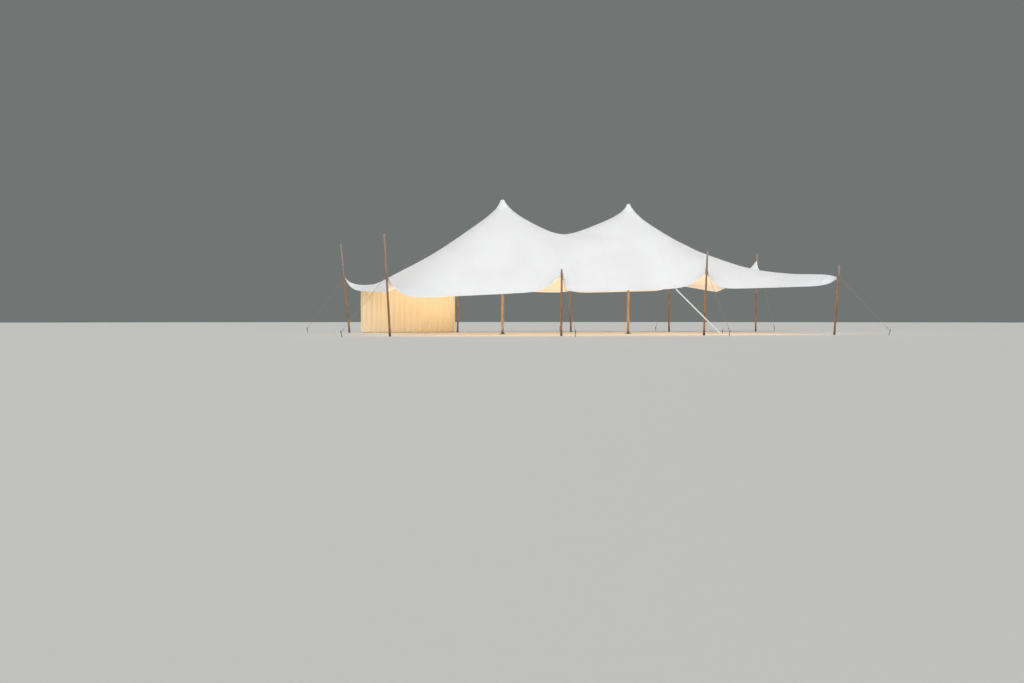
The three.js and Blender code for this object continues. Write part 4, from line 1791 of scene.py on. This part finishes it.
@dataclass
class KingPole:
    """The timber post under a peak, with its shoe, its plate and its rounded head.

    Attributes:
        side: The left or the right pole.
        surface: The canopy's upper face, which the head follows from below.
        shoe_height: The height of the steel shoe round the pole's foot.
        shoe_wall: The shoe's thickness.
        shoe_flare: How far the weld at the shoe's foot stands out.
        screw_height: How high up the shoe its screws sit.
        bolt_circle: The radius on which the plate's pins stand.
        head_radius: The radius of the head under the cloth.
        neck_radius: The radius of the head's neck.
    """

    side: str
    surface: BVHTree
    shoe_height: float = 0.11
    shoe_wall: float = 0.005
    shoe_flare: float = 0.004
    screw_height: float = 0.075
    bolt_circle: float = 0.118
    head_radius: float = 0.058
    neck_radius: float = 0.052

    def build(self) -> None:
        """Builds the pole from its foot to its head."""
        shaft = Shaft.of_node(f"king_pole_{self.side}")
        self.make_shaft(shaft)
        self.make_foot(shaft)
        self.make_head(shaft)

    def make_shaft(self, shaft: Shaft) -> None:
        """Turns the long post with eased ends.

        Args:
            shaft: Its axis.
        """
        length = shaft.high.z - shaft.low.z
        ease, swell, steps = 0.006, 0.0025, 24
        profile = [(0.0, 0.0), (shaft.foot_radius - ease, 0.0), (shaft.foot_radius, ease)]
        for k in range(1, steps):
            height = length * k / steps
            belly = swell * math.sin(math.pi * k / steps)
            profile.append((shaft.radius(shaft.low.z + height) + belly, height))
        profile += [(shaft.top_radius, length - ease), (shaft.top_radius - ease, length), (0.0, length)]
        mesh = start_mesh()
        turned(mesh, profile, Matrix.Translation(shaft.low), steps=28)
        finish_piece(
            f"king_pole_{self.side}_turned", mesh, [KING_TIMBER], [f"king_pole_{self.side}"]
        )

    def make_foot(self, shaft: Shaft) -> None:
        """Makes the round plate, its welded shoe and the pins that hold it down.

        Args:
            shaft: The pole's axis.
        """
        play, pins, screws, screw_turn = 0.0008, 4, 2, 0.4
        plate = Shaft.of_node(f"king_foot_plate_{self.side}")
        radius, top = plate.foot_radius, plate.high.z
        centre = Matrix.Translation(plate.low)
        mesh = start_mesh()
        rounded = (
            (0, 0), (radius - 0.002, 0), (radius, 0.002),
            (radius, top - 0.003), (radius - 0.003, top), (0, top),
        )
        turned(mesh, rounded, centre, steps=40)
        inner = shaft.foot_radius + play
        outer = inner + self.shoe_wall
        shoe = (
            (inner, top), (outer + self.shoe_flare, top), (outer, top + 0.005),
            (outer, self.shoe_height - 0.002), (outer - 0.002, self.shoe_height),
            (inner, self.shoe_height), (inner, top),
        )
        turned(mesh, shoe, centre, steps=32)
        pin = (
            (0, top), (0.019, top), (0.019, top + 0.003), (0.0125, top + 0.0035), (0.0125, top + 0.011),
            (0.0105, top + 0.013), (0, top + 0.013),
        )
        for k in range(pins):
            place = plate.low + self.bolt_circle * on_circle(FULL_TURN * (k + 0.5) / pins)
            turned(mesh, pin, Matrix.Translation(place) @ Matrix.Rotation(k, 4, "Z"), steps=12)
        screw = ((0, 0.0), (0.009, 0.0), (0.009, 0.005), (0.006, 0.0065), (0, 0.0065))
        for k in range(screws):
            out = on_circle(math.pi * k + screw_turn)
            place = plate.low + out * (outer - 0.001) + UP * self.screw_height
            facing = out.to_track_quat("Z", "Y").to_matrix().to_4x4()
            turned(mesh, screw, Matrix.Translation(place) @ facing, steps=6)
        finish_piece(
            f"king_foot_{self.side}", mesh, [DARK_STEEL], [f"king_foot_plate_{self.side}"]
        )

    def ceiling(self, axis: Vector, reach: float) -> float:
        """The height that lies just under the cloth all round a circle.

        Args:
            axis: A point of the pole's axis.
            reach: The circle's radius.

        Returns:
            The height.
        """
        directions, play = 48, 0.002
        heights = []
        for k in range(directions):
            turn = FULL_TURN * k / directions
            above = Vector((axis.x + reach * math.cos(turn), axis.y + reach * math.sin(turn), axis.z + 1))
            hit, normal, _, _ = self.surface.ray_cast(above, -UP)
            heights.append(hit.z - (CLOTH_THICKNESS + play) / abs(normal.z))
        return min(heights)

    def make_head(self, shaft: Shaft) -> None:
        """Turns the mushroom head so that it fills the crown from below.

        Args:
            shaft: The pole's axis.
        """
        steps = 8
        profile = []
        for k in range(steps + 1):
            reach = self.head_radius * math.sin(math.pi / 2 * k / steps)
            profile.append((reach, self.ceiling(shaft.high, reach)))
        shoulder, foot = profile[-1][1] - 0.004, shaft.high.z
        bead = self.head_radius + 0.002
        profile += [
            (bead, shoulder), (bead, shoulder - 0.03), (self.head_radius - 0.006, shoulder - 0.04),
            (self.neck_radius, foot + 0.012), (self.neck_radius, foot), (0.0, foot),
        ]
        mesh = start_mesh()
        turned(mesh, profile, Matrix.Translation((shaft.high.x, shaft.high.y, 0)), steps=28)
        finish_piece(
            f"king_head_{self.side}_turned", mesh, [KING_TIMBER], [f"king_head_{self.side}"]
        )


@dataclass
class FrontStrap:
    """The flat white strap from the front hem to its own stake.

    Attributes:
        net: The canopy's form.
        width: The strap's width.
        thickness: The strap's thickness.
        sewn: How far its end is folded back and sewn.
        bend_steps: How many steps it bends round its stake in.
    """

    net: StretchedNet
    width: float = 0.05
    thickness: float = 0.0026
    sewn: float = 0.2
    bend_steps: int = 12

    def build(self) -> None:
        """Runs the strap from the hem down to its stake and back along itself."""
        line, stake = Shaft.of_node("front_strap"), Shaft.of_node("stake_front_strap")
        heading = (line.low - line.high).normalized()
        level = levelled(heading)
        side = (UP - heading * UP.dot(heading)).normalized()
        face = heading.cross(side)
        round_pin = stake.foot_radius + self.thickness
        rim_points = [here for here, _, _ in self.net.rim]
        nearest = min(range(len(rim_points)), key=lambda k: (rim_points[k] - line.high).length)
        here, into, normal = self.net.rim[nearest]
        along_rim = (self.net.rim[nearest + 1][0] - here).normalized()
        over_hem, sewn_at, stake_gap = 0.0105, (0.14, 0.1, 0.05), 0.05
        path = [here + into * inward + normal * over_hem for inward in sewn_at]
        path.append(here - into * 0.012 + normal * 0.004)
        path.append(here - into * 0.006 - normal * 0.03)
        sides = [along_rim] * (len(path) - 1) + [(along_rim + side).normalized()]
        path += line_points(line.high + heading * 0.08, line.low - heading * stake_gap, step=0.04)
        sides += [side] * (len(path) - len(sides))
        centre = stake.at(line.low.z)
        for k in range(self.bend_steps + 1):
            turn = -math.pi / 2 + math.pi * k / self.bend_steps
            spot = centre + level * round_pin * math.cos(turn) + face * round_pin * math.sin(turn)
            path.append(Vector((spot.x, spot.y, line.low.z - 0.002)))
            sides.append(UP)
        back = line.low - heading * 0.06 + face * (self.thickness * 1.15)
        returning = line_points(back, back - heading * self.sewn, step=0.03)
        path += returning
        sides += [side] * len(returning)
        mesh = start_mesh()
        ribbon(mesh, path, sides, self.width)
        finish_piece(
            "front_strap_webbing", mesh, [STRAP_WEBBING], ["front_strap"],
            thickness=self.thickness,
        )


@dataclass
class SideWall:
    """The cream cloth wall in the back left bay, hung in soft pleats from the rim.

    Attributes:
        net: The canopy's form.
        first_step: The coarse step of the rim where it starts.
        last_step: The coarse step where it ends.
        pleats: How many pleats it falls in.
        depth: How deep they are at the ground.
        thickness: The modelled thickness of the cloth.
        flat_height: The cloth's height before it is hung.
        fullness: How much wider the cloth is than the width that it hangs in.
        clearance: How far it ends over the ground.
        ties: How many cords tie its head to the hem.
    """

    net: StretchedNet
    first_step: int = 3
    last_step: int = 12
    pleats: int = 21
    depth: float = 0.014
    thickness: float = 0.003
    flat_height: float = 2.1
    fullness: float = 1.06
    clearance: float = 0.004
    ties: int = 12

    def top(self, s: float) -> Vector:
        """Finds a point of the wall's upper edge, just inside and under the rim.

        Args:
            s: The share along it.

        Returns:
            The point.
        """
        step = (self.first_step + s * (self.last_step - self.first_step)) * self.net.fineness
        k = min(int(step), self.net.points.shape[0] - 2)
        low, high = self.net.points[k, -1], self.net.points[k + 1, -1]
        rim = Vector(low + (high - low) * (step - k))
        return rim + Vector((0, -0.016, -0.016))

    def build(self) -> None:
        """Hangs the wall and ties it to the rim."""
        columns, rows, chords = self.pleats * 12, 36, 40
        wander, wander_turns, half_pleats, lean = 0.9, 5.3, 0.35, 2.0
        at_head, growth, sideways, drawn_in = 0.12, 1.25, 0.006, 0.6
        length = sum((self.top((k + 1) / chords) - self.top(k / chords)).length for k in range(chords))
        flat_length = length * self.fullness

        def place(s: float, t: float) -> Vector:
            """Finds a point of the pleated wall, whose pleats deepen towards the ground.

            Args:
                s: The share along the wall.
                t: The share from the ground to its head.

            Returns:
                The point.
            """
            edge = self.top(s)
            drop = 1 - t
            uneven = wander * math.sin(wander_turns * s * FULL_TURN)
            wave = math.sin(FULL_TURN * self.pleats * s + uneven)
            wave += half_pleats * math.sin(FULL_TURN * self.pleats * 0.5 * s + lean * drop)
            swing = self.depth * wave * min(1.0, at_head + growth * drop**0.8)
            sway = sideways * math.cos(FULL_TURN * self.pleats * s) * drop
            height = self.clearance + (edge.z - self.clearance) * t
            return Vector((edge.x + sway, edge.y - self.depth * drawn_in * drop + swing, height))

        mesh = start_mesh()
        mapped_grid(mesh, columns, rows, place, lambda s, t: (s * flat_length, t * self.flat_height))
        wall = finish_piece(
            "back_left_cloth_wall", mesh, [WALL_CLOTH], ["back_left_wall"],
            thickness=self.thickness,
        )
        ties = self.make_ties()

    def make_ties(self) -> Piece:
        """The short cords that tie the wall's head to the hem."""
        radius, lay, steps = 0.0025, 0.02, 24
        cord = rope_outline(radius, groove=0.04)
        mesh = start_mesh()
        for k in range(self.ties):
            edge = self.top((k + 0.5) / self.ties)
            path = []
            for step in range(steps + 1):
                turn = FULL_TURN * step / steps
                rise = 0.004 + 0.024 * math.sin(turn)
                path.append(edge + Vector((0.002 * math.sin(turn), 0.012 * math.cos(turn), rise)))
            sweep(mesh, cord, path, lay)
        return finish_piece("wall_tie_cords", mesh, [NATURAL_ROPE])


class LampKind(Enum):
    """What a lamp is."""

    FAR_AWAY = "SUN"
    PANEL = "AREA"


@dataclass(frozen=True)
class Lamp:
    """A soft light, which the camera doesn't see itself.

    Attributes:
        name: Its name.
        power: How strong it is.
        tilt: How far it leans from straight down, in degrees.
        turn: The way that it leans, in degrees.
        tint: Its colour.
        kind: What it is.
        spread: The angle over which a far lamp is spread, in degrees.
        size: A panel's length and width.
        place: Where a panel's middle is.
    """

    name: str
    power: float
    tilt: float
    turn: float = 0.0
    tint: Triple = (1.0, 0.8, 0.58)
    kind: LampKind = LampKind.FAR_AWAY
    spread: float = 80
    size: Pair = (1.0, 1.0)
    place: Triple = (0.0, 0.0, 0.0)

    def hang(self) -> None:
        """Hangs the light."""
        data = bpy.data.lights.new(self.name, self.kind.value)
        data.energy = self.power
        data.color = self.tint
        if self.kind is LampKind.PANEL:
            data.shape = "RECTANGLE"
            data.size, data.size_y = self.size
        else:
            data.angle = math.radians(self.spread)
        lamp = bpy.data.objects.new(self.name, data)
        lamp.location = self.place
        lamp.rotation_euler = (math.radians(self.tilt), 0, math.radians(self.turn))
        lamp.visible_camera = False
        bpy.context.scene.collection.objects.link(lamp)


@dataclass
class Studio:
    """A pale floor, soft light and the camera.

    Attributes:
        eye: Where the camera stands.
        turned_right: How far it is turned to the right, in degrees.
        tilted_down: How far it looks down, in degrees.
        lens: Its focal length in millimetres.
        sensor: The width of its sensor in millimetres.
        farthest: How far it sees.
        floor_radius: The radius of the floor.
        floor_colour: The floor's colour.
        surround: The colour of the even light all round.
        lamps: The lights.
    """

    eye: Triple = (-12.073, -41.069, 0.65)
    turned_right: float = 12.0
    tilted_down: float = 1.324
    lens: float = 34.98
    sensor: float = 36.0
    farthest: float = 400
    floor_radius: float = 140
    floor_colour: Triple = (0.62, 0.6, 0.57)
    surround: Triple = (0.165, 0.18, 0.175)
    lamps: tuple[Lamp, ...] = (
        Lamp("key_light", power=2.2, tilt=56, turn=-24, tint=(0.95, 0.975, 1.0), spread=50),
        Lamp("fill_light", power=1.1, tilt=62, turn=50, tint=(0.96, 0.975, 1.0)),
        Lamp("back_light", power=0.75, tilt=50, turn=190, tint=(0.96, 0.98, 1.0)),
        Lamp(
            "underside_light", power=940, tilt=180,
            kind=LampKind.PANEL, size=(19.5, 8.0), place=(0.5, -0.6, 0.004),
        ),
        Lamp(
            "wall_light", power=9, tilt=90,
            kind=LampKind.PANEL, size=(4.0, 1.0), place=(-6.7, 2.6, 1.1),
        ),
    )

    def build(self) -> None:
        """Sets up the camera, the floor and the lights."""
        self.make_camera()
        self.make_floor()
        for lamp in self.lamps:
            lamp.hang()
        self.make_surround()

    def make_camera(self) -> None:
        """Places the camera at the photograph's viewing angle."""
        data = bpy.data.cameras.new("camera")
        data.lens = self.lens
        data.sensor_width = self.sensor
        data.clip_end = self.farthest
        camera = bpy.data.objects.new("camera", data)
        camera.location = self.eye
        camera.rotation_euler = (math.radians(90 - self.tilted_down), 0, math.radians(-self.turned_right))
        bpy.context.scene.collection.objects.link(camera)
        bpy.context.scene.camera = camera

    def make_floor(self) -> None:
        """Lays the pale floor."""
        mesh = bmesh.new()
        bmesh.ops.create_circle(mesh, cap_ends=True, radius=self.floor_radius, segments=96)
        data = bpy.data.meshes.new("floor")
        mesh.to_mesh(data)
        mesh.free()
        draft = ShaderDraft("pale_floor")
        inputs = {"Base Color": colour(self.floor_colour), "Roughness": 0.9, "Specular IOR Level": 0.1}
        data.materials.append(draft.finish(draft.surface(inputs)))
        floor = bpy.data.objects.new("floor", data)
        bpy.context.scene.collection.objects.link(floor)

    def make_surround(self) -> None:
        """Lights the tent evenly from all round."""
        world = bpy.data.worlds.new("surround")
        world.use_nodes = True
        light = world.node_tree.nodes["Background"].inputs
        light["Color"].default_value = colour(self.surround)
        light["Strength"].default_value = 1.0
        bpy.context.scene.world = world
        bpy.context.scene.view_settings.view_transform = "Standard"


def main() -> None:
    """Dresses the tent, reporting each sub-assembly."""
    logging.basicConfig(level=logging.INFO, format="%(name)s: %(message)s")
    Studio().build()
    net = StretchedNet()
    log.info("canopy net of %d by %d points", *net.points.shape[:2])
    canopy = Canopy(net)
    for side in CROWNS:
        KingPole(side, canopy.surface).build()
    lashing = Lashing()
    windings = lashing.template()
    for name in ANCHORS:
        EdgePole(name).build()
        lashing.build(windings, name)
        Stay().build(name)
        Stake().build(f"stake_{name}")
    Stake().build("stake_front_strap")
    canopy.build()
    FrontStrap(net).build()
    SideWall(net).build()


if __name__ == "__main__":
    main()
    bpy.context.view_layer.update()
